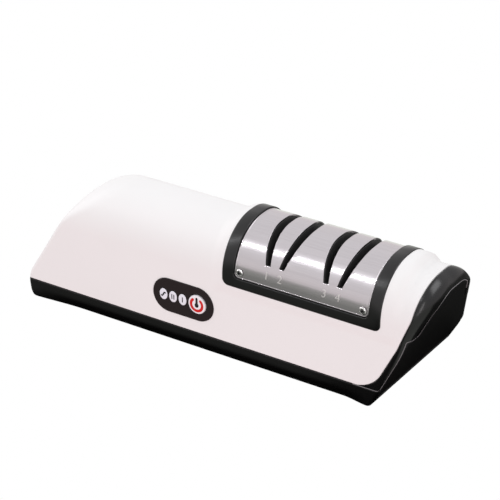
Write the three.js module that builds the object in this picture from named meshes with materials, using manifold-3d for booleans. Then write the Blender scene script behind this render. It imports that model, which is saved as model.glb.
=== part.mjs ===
// Electric knife sharpener: two pairs of slots over two pairs of abrasive wheels on one motor-driven shaft.
// Millimetres. +X runs along the length to the right, +Y to the back, +Z up.
// The origin is the centre of the bounding box at the surface that the sharpener stands on.
import * as THREE from 'three';
import { mergeVertices } from 'three/addons/utils/BufferGeometryUtils.js';
import Module from 'manifold-3d';

const wasm = await Module();
wasm.setup();

// Overall size
const length = 226;
const depth = 83.2;
const height = 71.4;

// Clearances
const gap = 0.3;
const overrun = 2;

// Housing, in end view (Y, Z) and in front view (X, Z)
const footLift = 1;
const wall = 2.5;
const saddleRise = 3.8;
const saddleStep = 1.4;
const shoulderRadius = 22;
const crownInset = 35.8;
const crownRadius = 16;
const heelZ = 13;
const heelRadius = 8;
const heelTuck = 3.6;
const sillZ = 7;
const sillRadius = 4;
const edgeRadius = 3;
const leftLean = 34;
const leftTuck = 3;
const leftBulgeZ = 13;
const leftBulgeRadius = 16;
const leftTopRadius = 10;
const rightLean = 28;
const rightKneeDrop = 9.6;
const rightKneeRadius = 14;
const rightTopRadius = 6;

// Parting of the housing
const baseTopZ = 10.7;
const floorThickness = 2.6;

// Boundary of the white housing at the right end, from the base up: distances in from the right tip,
// and heights as shares of the knee's
const trimFootInset = 33;
const trimLowInset = 23;
const trimLowShare = 0.3276;
const trimMidInset = 14.9;
const trimMidShare = 0.6052;
const trimHighInset = 8.8;
const trimHighShare = 0.8793;
const trimTopInset = 6.4;
const trimRadius = 12;
const drawerFrontThickness = 3;
const drawerLowInset = 1.2;
const drawerJogDrop = 31;
const drawerSideInset = 9.6;
const drawerSideRadius = 14;
const drawerTopDrop = 7;
const drawerCrownShift = 1.8;
const drawerCrownRadius = 12;
const drawerSlopeInset = 2.7;
const drawerHighFootZ = 20;

// Saddle under the plate frame
const saddleShoulderRadius = 24.4;
const saddleCrownShift = 2.2;
const saddleCrownRadius = 20;
const saddleFootDrop = 6.2;
const saddleFootRise = 5;
const saddleBackTuck = 1;
const saddleRampLeft = 4;
const saddleRampRight = 10;
const saddleMarginRight = 6;

// Plate frame, steel plate and slot insert
const frameRightInset = 22.8;
const frameWidth = 85.3;
const frameFootDrop = 29.2;
const frameThickness = 2.6;
const frameCorner = 3.5;
const frameBorder = 6.6;
const frameFootBorder = 5.3;
const plateRecess = 0.8;
const plateThickness = 0.8;
const plateCorner = 2.5;
const ledgeWidth = 2.6;
const insertThickness = 1.9;
const insertFootRise = 3.4;

// Knife slots
const slotPairInset = [57.9, 26.9];
const slotHalfGap = 3.6;
const slotLean = 0.242;
const slotFootDrop = 13.9;
const slotFootWidth = 3;
const slotTopWidth = 5.6;

// Plate screws
const plateScrewInset = 3;
const plateScrewHeadRadius = 2;
const plateScrewHeadThickness = 0.6;
const plateScrewSet = 0.1;
const plateScrewShankRadius = 1;
const plateScrewLength = 2.8;
const plateScrewCross = 0.6;
const plateScrewCrossReach = 1.2;
const plateScrewCrossDepth = 0.35;

// Control panel with its button and windows
const panelInset = 30;
const panelRiseShare = 0.4984;
const panelWidth = 35;
const panelHeight = 18;
const panelProud = 0.4;
const panelThickness = 3;
const panelPostRadius = 2;
const panelPostInset = 4.6;
const buttonOffset = 8.3;
const buttonRadius = 5;
const buttonProud = 0.6;
const buttonThickness = 1.6;
const buttonFlange = 0.6;
const buttonFlangeThickness = 0.8;
const buttonTravel = 0.8;
const stemRadius = 1.5;
const windowPitch = 5.5;
const windowFirstOffset = -11.2;
const windowWidth = 4.6;
const windowHeight = 6.2;
const windowThickness = 1.2;
const windowCount = 3;
const boardWidth = 33;
const boardHeight = 15;
const boardThickness = 1.6;
const boardBackset = 2.4;
const boardScrewHeadRadius = 1.8;
const boardScrewHeadThickness = 1.2;
const boardScrewRadius = 0.9;
const boardScrewLength = 4;
const switchSize = 6;
const switchThickness = 1.5;
const plungerRadius = 1.2;
const ledSize = 1.8;
const ledThickness = 1;

// Shaft line
const shaftInset = 21.5;
const shaftDepthShare = 0.109375;
const wheelHeightShare = 0.25;
const wheelExtraRadius = 1.15;
const wheelTrayGap = 2;
const shaftRadius = 3;
const wheelRimThickness = 1.8;
const wheelHalfGap = 0.4;
const wheelHubRadius = 8;
const wheelHubReach = 5.6;
const bulkheadLeftInset = 20.3;
const bulkheadRightReach = 12.7;
const bulkheadThickness = 4;
const bulkheadTopDrop = 11.6;
const bulkheadDeckGap = 0.3;
const bearingRadius = 6;
const bearingFlange = 1.8;
const bearingFlangeThickness = 1.4;
const nutWidth = 9;
const nutThickness = 4;
const nutCorners = 6;
const spindleTail = 4;
const spindleHead = 7;

// Motor
const motorHeightShare = 0.13;
const motorDepthShare = 0.10478;
const motorFrontInset = 18;
const motorRoomShare = 0.1127;
const motorWall = 1.4;
const motorBossRadius = 6.5;
const motorBossLength = 2.4;
const motorShaftRadius = 2;
const motorCapThickness = 6;
const motorCapBossRadius = 5;
const motorCapBossLength = 4;
const motorNeckRadius = 2.6;
const magnetThickness = 3.4;
const magnetLengthShare = 0.64;
const magnetShare = 0.36;
const rotorGap = 5.8;
const rotorLengthShare = 0.57;
const commutatorRadius = 5;
const commutatorLengthShare = 0.14;
const terminalWidth = 3;
const terminalThickness = 0.8;
const terminalLength = 5;
const terminalOffset = 9;
const couplingRadius = 7;
const couplingLength = 15;
const cradleRibThickness = 3;
const cradleRibShare = 0.16;
const cradleSide = 2.5;
const cradlePlate = 2;
const cradleTopDrop = 9;
const strapWidthShare = 0.18;
const strapThickness = 1;
const strapEar = 5.5;
const strapFootRise = 8;
const strapScrewRadius = 1.3;
const strapScrewHeadRadius = 2.4;
const strapScrewHeadThickness = 1.6;
const strapScrewLength = 7;

// Swarf drawer
const trayLeftInset = 14.8;
const trayFrontInset = 11.2;
const trayBackInset = 24.6;
const trayTopZ = 15;
const trayWall = 1.6;
const magnetBarInset = 16.5;
const magnetBarWidth = 28;
const magnetBarMargin = 4.4;
const magnetBarThickness = 1.6;

// Rear cord gland
const glandInset = 33;
const glandZ = 6.2;
const glandRadius = 4.2;
const glandBore = 3;
const glandNeckRadius = 3.6;
const glandLip = 1.4;
const glandSet = 1.2;

// Feet and housing screws
const footRadius = 6;
const footInsetX = 32;
const footInsetRightX = 36;
const footInsetY = 14;
const footPocket = 1.2;
const bossRadius = 4;
const bossBore = 1.8;
const bossTopGap = 0.3;
const bossLeftInset = 21;
const bossRightInset = 46;
const bossFrontInset = 6.5;
const bossBackInset = 12;
const postTopZ = 30;
const housingScrewRadius = 1.5;
const housingScrewHeadRadius = 2.8;
const housingScrewHeadThickness = 1.8;
const housingScrewLength = 14;
const housingScrewPocketRadius = 3.2;

// Leads inside the housing
const leadRadius = 0.8;
const leadArchRise = 9;
const leadBend = 4;
const leadTurn = 10;
const motorLeadShares = [0, 0.04, 0.3, 0.72];
const supplyLeadShares = [0.09, 0.52, 0.78];
const leadSides = 8;
const leadSteps = 36;

// Smoothness
const arcStep = Math.PI / 15;
const roundSides = 28;
const smallSides = 16;
const weldShare = 0.001;
const weldDistance = 0.00001;

const halfLength = length / 2;
const left = -halfLength;
const right = halfLength;
const front = -depth / 2;
const rear = depth / 2;
const hullTop = height - saddleRise;
const hullFront = front + saddleStep;
const innerFloorZ = footLift + floorThickness;
const crownY = front + crownInset;
const rightKneeZ = hullTop - rightKneeDrop;
const frameRightX = right - frameRightInset;
const frameLeftX = frameRightX - frameWidth;
const frameFootZ = height - frameFootDrop;
const saddleFootZ = frameFootZ - saddleFootDrop;
const saddleBackY = slopeY(saddleFootZ) - saddleBackTuck;
const slotPairX = slotPairInset.map((inset) => frameRightX - inset);
const slotFootZ = height - slotFootDrop;
const wheelRadius = height * wheelHeightShare + wheelExtraRadius;
const shaftY = front + shaftInset + depth * shaftDepthShare;
const shaftZ = trayTopZ + wheelTrayGap + wheelRadius;
const bulkheadLeftX = slotPairX[0] - bulkheadLeftInset;
const bulkheadRightX = slotPairX[1] + bulkheadRightReach;
const bulkheadTopZ = hullTop - bulkheadTopDrop;
const trayLeftX = slotPairX[0] - trayLeftInset;
const trayFrontY = front + trayFrontInset;
const trayBackY = rear - trayBackInset;
const motorRadius = height * motorHeightShare + depth * motorDepthShare;
const motorFrontX = bulkheadLeftX - motorFrontInset;
const motorBackX = leanX(shaftZ + motorRadius) + length * motorRoomShare;
const motorLength = motorFrontX - motorBackX;
const magnetLength = motorLength * magnetLengthShare;
const rotorRadius = motorRadius - rotorGap;
const rotorLength = motorLength * rotorLengthShare;
const commutatorLength = motorLength * commutatorLengthShare;
const cradleRibInset = motorLength * cradleRibShare;
const cradleHalfWidth = motorRadius + cradleSide;
const cradleTopZ = shaftZ - cradleTopDrop;
const strapWidth = motorLength * strapWidthShare;
const strapX = motorBackX + cradleRibInset + cradleRibThickness + gap + strapWidth / 2;
const strapSeatZ = innerFloorZ + strapFootRise;
const panelX = bulkheadLeftX - panelInset;
const panelZ = baseTopZ + (frameFootZ - baseTopZ) * panelRiseShare;
const drawerJogZ = height - drawerJogDrop;
const glandX = left + glandInset;
const leadArchZ = shaftZ + leadArchRise;
const slopeAngle = Math.atan((rear - crownY) / (hullTop - heelZ));
const plateLeftX = frameLeftX + frameBorder;
const plateRightX = frameRightX - frameBorder;
const plateFootZ = frameFootZ + frameFootBorder;
const saddleLeftX = frameLeftX - saddleRampLeft;
const saddleRightX = frameRightX + saddleMarginRight;
const insertSet = plateRecess + plateThickness + gap;
const strapScrewOffset = motorRadius + strapThickness + strapScrewHeadRadius + gap * 2;
const panelFaceY = hullFront - panelProud;
const panelBackY = panelFaceY + panelThickness;
const boardY = panelBackY + boardBackset;
const leadY = boardY + boardThickness + gap + leadRadius;
const buttonX = panelX + buttonOffset;

// The housing's rear slope and its leaning left end, at a height
function slopeY(z) {
  return crownY + ((rear - crownY) * (hullTop - z)) / (hullTop - heelZ);
}

function leanX(z) {
  return left + (leftLean * (z - leftBulgeZ)) / (hullTop - leftBulgeZ);
}

// Solids from three.js geometry
function solid(geometry) {
  const plain = geometry.index ? geometry.toNonIndexed() : geometry.clone();
  plain.deleteAttribute('normal');
  plain.deleteAttribute('uv');
  const merged = mergeVertices(plain, weldDistance);
  return new wasm.Manifold(new wasm.Mesh({
    numProp: 3,
    vertProperties: new Float32Array(merged.attributes.position.array),
    triVerts: new Uint32Array(merged.index.array),
  }));
}

function prism(points, span) {
  const shape = new THREE.Shape(points.map(([u, v]) => new THREE.Vector2(u, v)));
  return new THREE.ExtrudeGeometry(shape, { depth: span, bevelEnabled: false });
}

// A prism along X of an outline in (Y, Z)
function alongX(points, x0, x1) {
  const turn = new THREE.Matrix4().set(0, 0, 1, x0, 1, 0, 0, 0, 0, 1, 0, 0, 0, 0, 0, 1);
  return solid(prism(points, x1 - x0).applyMatrix4(turn));
}

// A prism along Y of an outline in (X, Z)
function alongY(points, y0, y1) {
  const turn = new THREE.Matrix4().set(1, 0, 0, 0, 0, 0, -1, y1, 0, 1, 0, 0, 0, 0, 0, 1);
  return solid(prism(points, y1 - y0).applyMatrix4(turn));
}

function block(x0, x1, y0, y1, z0, z1) {
  const geometry = new THREE.BoxGeometry(x1 - x0, y1 - y0, z1 - z0);
  return solid(geometry.translate((x0 + x1) / 2, (y0 + y1) / 2, (z0 + z1) / 2));
}

// A turned piece on an axis along X, from [place along the axis, radius] pairs
function turnedX(profile, y, z, sides = roundSides) {
  const points = profile.map(([a, r]) => new THREE.Vector2(r, a));
  if (profile[0][1] > 0) points.push(points[0].clone());
  const geometry = new THREE.LatheGeometry(points, sides);
  const made = solid(geometry.rotateZ(-Math.PI / 2).translate(0, y, z));
  return made.volume() < 0 ? flipped(made) : made;
}

// A turned piece on an axis along Y
function turnedY(profile, x, z, sides = smallSides) {
  return turnedX(profile, 0, 0, sides).rotate([0, 0, 90]).translate([x, 0, z]);
}

// A turned piece on an axis along Z
function turnedZ(profile, x, y, sides = smallSides) {
  return turnedX(profile, 0, 0, sides).rotate([0, -90, 0]).translate([x, y, 0]);
}

function flipped(made) {
  const mesh = made.getMesh();
  const turned = new Uint32Array(mesh.triVerts.length);
  mesh.triVerts.forEach((v, i) => { turned[i - (i % 3) + (2 - (i % 3))] = v; });
  return new wasm.Manifold(new wasm.Mesh({
    numProp: 3, vertProperties: mesh.vertProperties, triVerts: turned,
  }));
}

function rodX(radius, x0, x1, y, z, sides = smallSides) {
  return turnedX([[x0, 0], [x0, radius], [x1, radius], [x1, 0]], y, z, sides);
}

function rodY(radius, y0, y1, x, z, sides = smallSides) {
  return turnedY([[y0, 0], [y0, radius], [y1, radius], [y1, 0]], x, z, sides);
}

function rodZ(radius, z0, z1, x, y, sides = smallSides) {
  return turnedZ([[z0, 0], [z0, radius], [z1, radius], [z1, 0]], x, y, sides);
}

function union(solids) {
  return solids.reduce((sum, one) => sum.add(one));
}

// A convex outline with rounded corners, [u, v, radius] each, moved inwards by an inset.
// Where two corners need more than the wall between them, they share it.
function rounded(corners, inset = 0) {
  const area = corners.reduce((sum, [u, v], i) => {
    const [nu, nv] = corners[(i + 1) % corners.length];
    return sum + u * nv - nu * v;
  }, 0);
  const side = Math.sign(area);
  const count = corners.length;
  const edges = corners.map(([u, v], i) => {
    const [nu, nv] = corners[(i + 1) % count];
    const run = Math.hypot(nu - u, nv - v);
    const du = (nu - u) / run;
    const dv = (nv - v) / run;
    return { u: u - dv * side * inset, v: v + du * side * inset, du, dv };
  });
  const turns = corners.map(([, , radius], i) => {
    const a = edges[(i + count - 1) % count];
    const b = edges[i];
    const cross = a.du * b.dv - a.dv * b.du;
    const t = ((b.u - a.u) * b.dv - (b.v - a.v) * b.du) / cross;
    const turn = Math.asin(Math.min(Math.abs(cross), 1));
    const sweep = a.du * b.du + a.dv * b.dv < 0 ? Math.PI - turn : turn;
    const r = Math.max(radius - inset, radius / 4);
    return { a, cornerU: a.u + a.du * t, cornerV: a.v + a.dv * t, sweep, r, reach: r * Math.tan(sweep / 2) };
  });
  const rooms = turns.map((one, i) => {
    const next = turns[(i + 1) % count];
    const run = Math.hypot(next.cornerU - one.cornerU, next.cornerV - one.cornerV);
    return Math.min(run / (one.reach + next.reach), 1);
  });
  const points = [];
  turns.forEach(({ a, cornerU, cornerV, sweep, r: fullR, reach: fullReach }, i) => {
    const room = Math.min(rooms[i], rooms[(i + count - 1) % count]);
    const r = fullR * room;
    const reach = fullReach * room;
    const centreU = cornerU - a.du * reach - a.dv * side * r;
    const centreV = cornerV - a.dv * reach + a.du * side * r;
    const start = Math.atan2(cornerV - a.dv * reach - centreV, cornerU - a.du * reach - centreU);
    const steps = Math.max(Math.round(sweep / arcStep), 1);
    for (let k = 0; k <= steps; k += 1) {
      const angle = start + side * sweep * (k / steps);
      points.push([centreU + r * Math.cos(angle), centreV + r * Math.sin(angle)]);
    }
  });
  return points;
}

// An oval outline with round ends
function stadium(cx, cz, width, tall, inset = 0) {
  const w = width / 2 - inset;
  const h = tall / 2 - inset;
  const r = Math.min(w, h);
  const points = [];
  const steps = smallSides / 4;
  [[1, 1, 0], [-1, 1, 1], [-1, -1, 2], [1, -1, 3]].forEach(([sx, sz, quarter]) => {
    for (let k = 0; k <= steps; k += 1) {
      const angle = (quarter + k / steps) * (Math.PI / 2);
      const point = [cx + sx * (w - r) + r * Math.cos(angle), cz + sz * (h - r) + r * Math.sin(angle)];
      const last = points[points.length - 1];
      if (!last || Math.hypot(point[0] - last[0], point[1] - last[1]) > r * weldShare) points.push(point);
    }
  });
  const [first] = points;
  const end = points[points.length - 1];
  if (Math.hypot(first[0] - end[0], first[1] - end[1]) <= r * weldShare) points.pop();
  return points;
}

// Outlines of the housing
const endView = [
  [hullFront, footLift, edgeRadius],
  [hullFront, hullTop, shoulderRadius],
  [crownY, hullTop, crownRadius],
  [rear, heelZ, heelRadius],
  [rear, sillZ, sillRadius],
  [rear - heelTuck, footLift, edgeRadius],
];
const frontView = [
  [left + leftTuck, footLift, edgeRadius],
  [left, sillZ, sillRadius],
  [left, leftBulgeZ, leftBulgeRadius],
  [left + leftLean, hullTop, leftTopRadius],
  [right, hullTop, rightTopRadius],
  [right, rightKneeZ, rightKneeRadius],
  [right - rightLean, footLift, edgeRadius],
];
const saddleEndView = [
  [hullFront, saddleFootZ, edgeRadius],
  [front, saddleFootZ + saddleFootRise, edgeRadius],
  [front, height, saddleShoulderRadius],
  [crownY + saddleCrownShift, height, saddleCrownRadius],
  [saddleBackY, saddleFootZ, edgeRadius],
];

const drawerHighView = [
  [hullFront + drawerSideInset, drawerHighFootZ, edgeRadius],
  [hullFront + drawerSideInset, hullTop - drawerTopDrop, drawerSideRadius],
  [crownY + drawerCrownShift, hullTop - drawerTopDrop, drawerCrownRadius],
  [slopeY(drawerHighFootZ) - drawerSlopeInset / Math.cos(slopeAngle), drawerHighFootZ, edgeRadius],
];

// The outline of the drawer's front: nearly full width below its jog, and narrower above it
function drawerProfile(grow, x0, x1) {
  const low = alongX(rounded(endView, drawerLowInset - grow), x0, x1).intersect(below(drawerJogZ + grow));
  return low.add(alongX(rounded(drawerHighView, -grow), x0, x1));
}

function hull(inset) {
  const section = alongX(rounded(endView, inset), left - overrun, right + overrun);
  return section.intersect(alongY(rounded(frontView, inset), front - overrun, rear + overrun));
}

function saddleShell(inset, x0, x1) {
  return alongX(rounded(saddleEndView, inset), x0, x1);
}

function saddle() {
  const over = height + overrun;
  const ramp = [
    [saddleLeftX, saddleFootZ],
    [saddleLeftX, hullTop - saddleRise],
    [saddleLeftX + saddleRampLeft, height],
    [saddleLeftX + saddleRampLeft, over],
    [saddleRightX, over],
    [saddleRightX, height],
    [saddleRightX + saddleRampRight, hullTop - saddleRise],
    [saddleRightX + saddleRampRight, saddleFootZ],
  ];
  return saddleShell(0, saddleLeftX, saddleRightX + saddleRampRight)
    .intersect(alongY(ramp, front - overrun, rear + overrun));
}

// What lies left of the white housing's edge at the right end, moved left by an inset
function leftOfTrim(inset) {
  const far = hullTop + saddleRise + overrun;
  const edge = rounded([
    [left - overrun, footLift - overrun, trimRadius / 4],
    [right - trimFootInset - inset, footLift - overrun, trimRadius / 4],
    [right - trimFootInset - inset, baseTopZ - overrun, trimRadius / 4],
    [right - trimLowInset - inset, rightKneeZ * trimLowShare, trimRadius],
    [right - trimMidInset - inset, rightKneeZ * trimMidShare, trimRadius],
    [right - trimHighInset - inset, rightKneeZ * trimHighShare, trimRadius],
    [right - trimTopInset - inset, hullTop, trimRadius],
    [right - trimTopInset - inset, far, trimRadius / 4],
    [left - overrun, far, trimRadius / 4],
  ]);
  return alongY(edge, front - overrun, rear + overrun);
}

function above(z) {
  return block(left - overrun, right + overrun, front - overrun, rear + overrun, z, height + overrun);
}

function below(z) {
  return block(left - overrun, right + overrun, front - overrun, rear + overrun, -overrun, z);
}

// The hollow of the housing, carried on through the right end
function cavity() {
  const inner = hull(wall);
  return inner.add(inner.translate([rightLean, 0, 0]).intersect(above(innerFloorZ)));
}

// Places of the bosses that screw the base to the housing
const bossPlaces = [
  [left + bossLeftInset, front + bossFrontInset],
  [right - bossRightInset, front + bossFrontInset],
  [left + bossLeftInset, rear - bossBackInset],
  [right - bossRightInset, rear - bossBackInset],
];

function frameFootprint(inset, foot, corner) {
  const over = height + overrun;
  return alongY(rounded([
    [frameLeftX + inset, foot, corner],
    [frameLeftX + inset, over, corner],
    [frameRightX - inset, over, corner],
    [frameRightX - inset, foot, corner],
  ]), front - overrun, rear + overrun);
}

// A layer of the arched saddle between two depths, inside an outline in front view
function saddleLayer(outer, inner, footprint) {
  const x0 = frameLeftX - overrun;
  const x1 = frameRightX + overrun;
  return saddleShell(outer, x0, x1).subtract(saddleShell(inner, x0 - overrun, x1 + overrun))
    .intersect(footprint);
}

function postBore(x, y) {
  return rodZ(bossBore, baseTopZ - overrun, footLift + housingScrewLength + gap, x, y);
}

function upperShell() {
  const posts = union(bossPlaces.map(([x, y]) => rodZ(bossRadius, baseTopZ, postTopZ, x, y)));
  const outer = hull(0).add(saddle());
  const pocketDepth = frameThickness + gap;
  const pocket = saddleShell(-overrun, frameLeftX - gap, frameRightX + gap)
    .subtract(saddleShell(pocketDepth, frameLeftX - overrun, frameRightX + overrun))
    .intersect(frameFootprint(-gap, frameFootZ - gap, frameCorner));
  const window = frameFootprint(
    frameBorder + ledgeWidth - gap, plateFootZ + insertFootRise - gap, plateCorner,
  );
  const panelHole = alongY(
    stadium(panelX, panelZ, panelWidth, panelHeight, -gap), front - overrun, hullFront + wall + overrun,
  );
  let shell = outer.subtract(cavity()).add(posts.intersect(outer));
  shell = shell.intersect(above(baseTopZ)).intersect(leftOfTrim(0));
  shell = shell.subtract(pocket).subtract(window).subtract(panelHole);
  bossPlaces.forEach(([x, y]) => { shell = shell.subtract(postBore(x, y)); });
  return shell;
}

function baseShell() {
  const drawerMouth = drawerProfile(gap, trayLeftX, right + overrun)
    .intersect(above(innerFloorZ)).subtract(leftOfTrim(0));
  let base = hull(0).intersect(below(baseTopZ - gap)).subtract(cavity().intersect(above(innerFloorZ)));
  base = base.subtract(drawerMouth);
  bossPlaces.forEach(([x, y]) => {
    base = base.add(rodZ(bossRadius, innerFloorZ - floorThickness / 2, baseTopZ - bossTopGap, x, y));
    base = base.subtract(rodZ(bossBore, -overrun, baseTopZ + overrun, x, y));
    const pocketTopZ = footLift + housingScrewHeadThickness + gap;
    base = base.subtract(rodZ(housingScrewPocketRadius, -overrun, pocketTopZ, x, y));
  });
  footPlaces().forEach(([x, y]) => {
    base = base.subtract(rodZ(footRadius + gap, -overrun, footLift + footPocket, x, y));
  });
  const glandHole = rodY(glandNeckRadius + gap, rear - heelTuck * 2 - wall, rear + overrun, glandX, glandZ);
  const glandSeatY = rear - glandSet - glandLip - gap;
  const glandSeat = rodY(glandRadius + gap, glandSeatY, rear + overrun, glandX, glandZ);
  return base.subtract(glandHole).subtract(glandSeat);
}

function endBezel() {
  const hole = drawerProfile(gap, left, right + overrun);
  return hull(0).subtract(leftOfTrim(-gap)).subtract(hole).intersect(above(baseTopZ));
}

function swarfDrawer() {
  const skin = hull(0).subtract(hull(0).translate([-drawerFrontThickness, 0, 0]));
  const trayFootZ = innerFloorZ + gap;
  const frontPlate = skin.intersect(drawerProfile(0, 0, right + overrun)).intersect(above(trayFootZ));
  const outside = block(trayLeftX, right, trayFrontY, trayBackY, trayFootZ, trayTopZ);
  const inside = block(
    trayLeftX + trayWall, right, trayFrontY + trayWall, trayBackY - trayWall,
    trayFootZ + trayWall, trayTopZ + overrun,
  );
  const inHull = hull(0).translate([-drawerFrontThickness / 2, 0, 0]);
  return outside.subtract(inside).intersect(inHull).add(frontPlate);
}

function drawerMagnet() {
  const z = innerFloorZ + gap + trayWall + gap;
  const x = trayLeftX + magnetBarInset;
  return block(
    x, x + magnetBarWidth, trayFrontY + magnetBarMargin, trayBackY - magnetBarMargin * 2,
    z, z + magnetBarThickness,
  );
}

function plateFrame() {
  const ring = saddleLayer(0, frameThickness, frameFootprint(0, frameFootZ, frameCorner));
  const pocket = saddleShell(-overrun, plateLeftX - gap, plateRightX + gap)
    .subtract(saddleShell(plateRecess + plateThickness + gap, plateLeftX - overrun, plateRightX + overrun))
    .intersect(frameFootprint(frameBorder - gap, plateFootZ - gap, plateCorner));
  const through = frameFootprint(
    frameBorder + ledgeWidth - gap, plateFootZ + insertFootRise - gap, plateCorner,
  );
  let frame = ring.subtract(pocket).subtract(through);
  plateScrewPlaces().forEach(([x, z]) => {
    const throughY = front + frameThickness + gap;
    frame = frame.subtract(rodY(plateScrewShankRadius + gap, front - overrun, throughY, x, z));
  });
  return frame;
}

function slotCut() {
  const topZ = height + overrun;
  const rise = topZ - slotFootZ;
  const widen = (slotTopWidth - slotFootWidth) / (height - slotFootZ);
  const cuts = slotPairX.flatMap((pairX) => [-1, 1].map((side) => {
    const footX = pairX + side * slotHalfGap;
    const topX = footX + side * slotLean * rise;
    const footHalf = slotFootWidth / 2;
    const topHalf = footHalf + (widen * rise) / 2;
    const outline = [
      [footX - footHalf, slotFootZ], [footX + footHalf, slotFootZ],
      [topX + topHalf, topZ], [topX - topHalf, topZ],
    ];
    return alongY(outline, front - overrun, rear + overrun);
  }));
  return union(cuts);
}

function plateScrewPlaces() {
  const z = plateFootZ + plateScrewInset;
  return [[plateLeftX + plateScrewInset, z], [plateRightX - plateScrewInset, z]];
}

function steelPlate() {
  const footprint = frameFootprint(frameBorder, plateFootZ, plateCorner);
  let plate = saddleLayer(plateRecess, plateRecess + plateThickness, footprint).subtract(slotCut());
  plateScrewPlaces().forEach(([x, z]) => {
    plate = plate.subtract(rodY(plateScrewShankRadius + gap, front - overrun, front + wall, x, z));
  });
  return plate;
}

function plateScrews() {
  const headY = front + plateScrewSet;
  const seatY = headY + plateScrewHeadThickness;
  return plateScrewPlaces().map(([x, z]) => {
    const head = rodY(plateScrewHeadRadius, headY, seatY, x, z);
    const shank = rodY(plateScrewShankRadius, seatY - gap / 2, headY + plateScrewLength, x, z);
    const reach = plateScrewCrossReach;
    const bar = block(
      x - reach, x + reach, headY - overrun, headY + plateScrewCrossDepth,
      z - plateScrewCross / 2, z + plateScrewCross / 2,
    );
    const upright = block(
      x - plateScrewCross / 2, x + plateScrewCross / 2, headY - overrun, headY + plateScrewCrossDepth,
      z - reach, z + reach,
    );
    return head.add(shank).subtract(bar).subtract(upright);
  });
}

function slotGuide() {
  const footprint = frameFootprint(frameBorder + ledgeWidth, plateFootZ + insertFootRise, plateCorner);
  return saddleLayer(insertSet, insertSet + insertThickness, footprint).subtract(slotCut());
}

function windowPlaces() {
  return Array.from({ length: windowCount }, (_, i) => panelX + windowFirstOffset + i * windowPitch);
}

function controlPanel() {
  let panel = alongY(stadium(panelX, panelZ, panelWidth, panelHeight), panelFaceY, panelBackY);
  boardScrewPlaces().forEach(([x, z]) => {
    panel = panel.add(rodY(panelPostRadius, panelBackY - gap, boardY - gap, x, z));
    panel = panel.subtract(rodY(boardScrewRadius + gap, panelBackY - boardThickness, boardY, x, z));
  });
  const boreEndY = panelFaceY + buttonThickness + buttonTravel;
  const bore = rodY(buttonRadius + gap, panelFaceY - overrun, boreEndY, buttonX, panelZ);
  const flangeBore = rodY(
    buttonRadius + buttonFlange + gap, panelFaceY + buttonThickness - buttonProud - gap,
    panelBackY + overrun, buttonX, panelZ,
  );
  windowPlaces().forEach((x) => {
    panel = panel.subtract(alongY(
      stadium(x, panelZ, windowWidth, windowHeight, -gap / 2), panelFaceY - overrun, panelBackY + overrun,
    ));
  });
  return panel.subtract(bore).subtract(flangeBore);
}

function modeWindows() {
  return windowPlaces().map((x) => alongY(
    stadium(x, panelZ, windowWidth, windowHeight, gap / 2), panelFaceY, panelFaceY + windowThickness,
  ));
}

function powerButton() {
  const faceY = panelFaceY - buttonProud;
  const flangeY = faceY + buttonThickness;
  return turnedY([
    [faceY, 0],
    [faceY, buttonRadius],
    [flangeY, buttonRadius],
    [flangeY, buttonRadius + buttonFlange],
    [flangeY + buttonFlangeThickness, buttonRadius + buttonFlange],
    [flangeY + buttonFlangeThickness, stemRadius],
    [boardY - switchThickness - buttonTravel - gap * 3, stemRadius],
    [boardY - switchThickness - buttonTravel - gap * 3, 0],
  ], buttonX, panelZ, roundSides);
}

function boardScrewPlaces() {
  const reach = panelWidth / 2 - panelPostInset;
  const rise = panelHeight / 2 - panelPostInset;
  return [[panelX - reach, panelZ - rise], [panelX + reach, panelZ + rise]];
}

function controlBoard() {
  const x0 = panelX - boardWidth / 2;
  const z0 = panelZ - boardHeight / 2;
  let board = block(x0, x0 + boardWidth, boardY, boardY + boardThickness, z0, z0 + boardHeight);
  boardScrewPlaces().forEach(([x, z]) => {
    board = board.subtract(rodY(boardScrewRadius + gap, boardY - overrun, boardY + overrun * 2, x, z));
  });
  return board;
}

function boardScrews() {
  const headY = boardY + boardThickness + gap;
  return boardScrewPlaces().map(([x, z]) => (
    rodY(boardScrewHeadRadius, headY, headY + boardScrewHeadThickness, x, z)
      .add(rodY(boardScrewRadius, headY - boardScrewLength, headY + gap, x, z))
  ));
}

function buttonSwitch() {
  const half = switchSize / 2;
  const body = block(
    buttonX - half, buttonX + half, boardY - switchThickness - gap, boardY - gap,
    panelZ - half, panelZ + half,
  );
  const bore = rodY(
    plungerRadius + gap, boardY - switchThickness - overrun, boardY - gap * 2, buttonX, panelZ,
  );
  return body.subtract(bore);
}

function switchPlunger() {
  const topY = boardY - switchThickness - buttonTravel - gap * 2;
  return rodY(plungerRadius, topY, boardY - buttonTravel - gap * 3, buttonX, panelZ);
}

function modeLeds() {
  const half = ledSize / 2;
  return windowPlaces().map((x) => block(
    x - half, x + half, boardY - ledThickness - gap, boardY - gap, panelZ - half, panelZ + half,
  ));
}

// One abrasive wheel of a pair, its working face turned away from the pair's middle
function wheel(pairX, side) {
  const bore = shaftRadius + gap;
  const profile = [
    [wheelHalfGap, bore],
    [wheelHalfGap, wheelRadius],
    [wheelHalfGap + wheelRimThickness, wheelRadius],
    [wheelHubReach, wheelHubRadius],
    [wheelHubReach + wheelRimThickness, wheelHubRadius],
    [wheelHubReach + wheelRimThickness, bore],
  ].map(([a, r]) => [pairX + side * a, r]);
  return turnedX(side > 0 ? profile : profile.reverse(), shaftY, shaftZ, roundSides + smallSides / 3);
}

const hubEnd = wheelHubReach + wheelRimThickness;
const spindleFromX = bulkheadLeftX - spindleHead;
const spindleToX = bulkheadRightX + bulkheadThickness + bearingFlangeThickness + nutThickness + spindleTail;

function spindle() {
  return rodX(shaftRadius, spindleFromX, spindleToX, shaftY, shaftZ);
}

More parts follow.
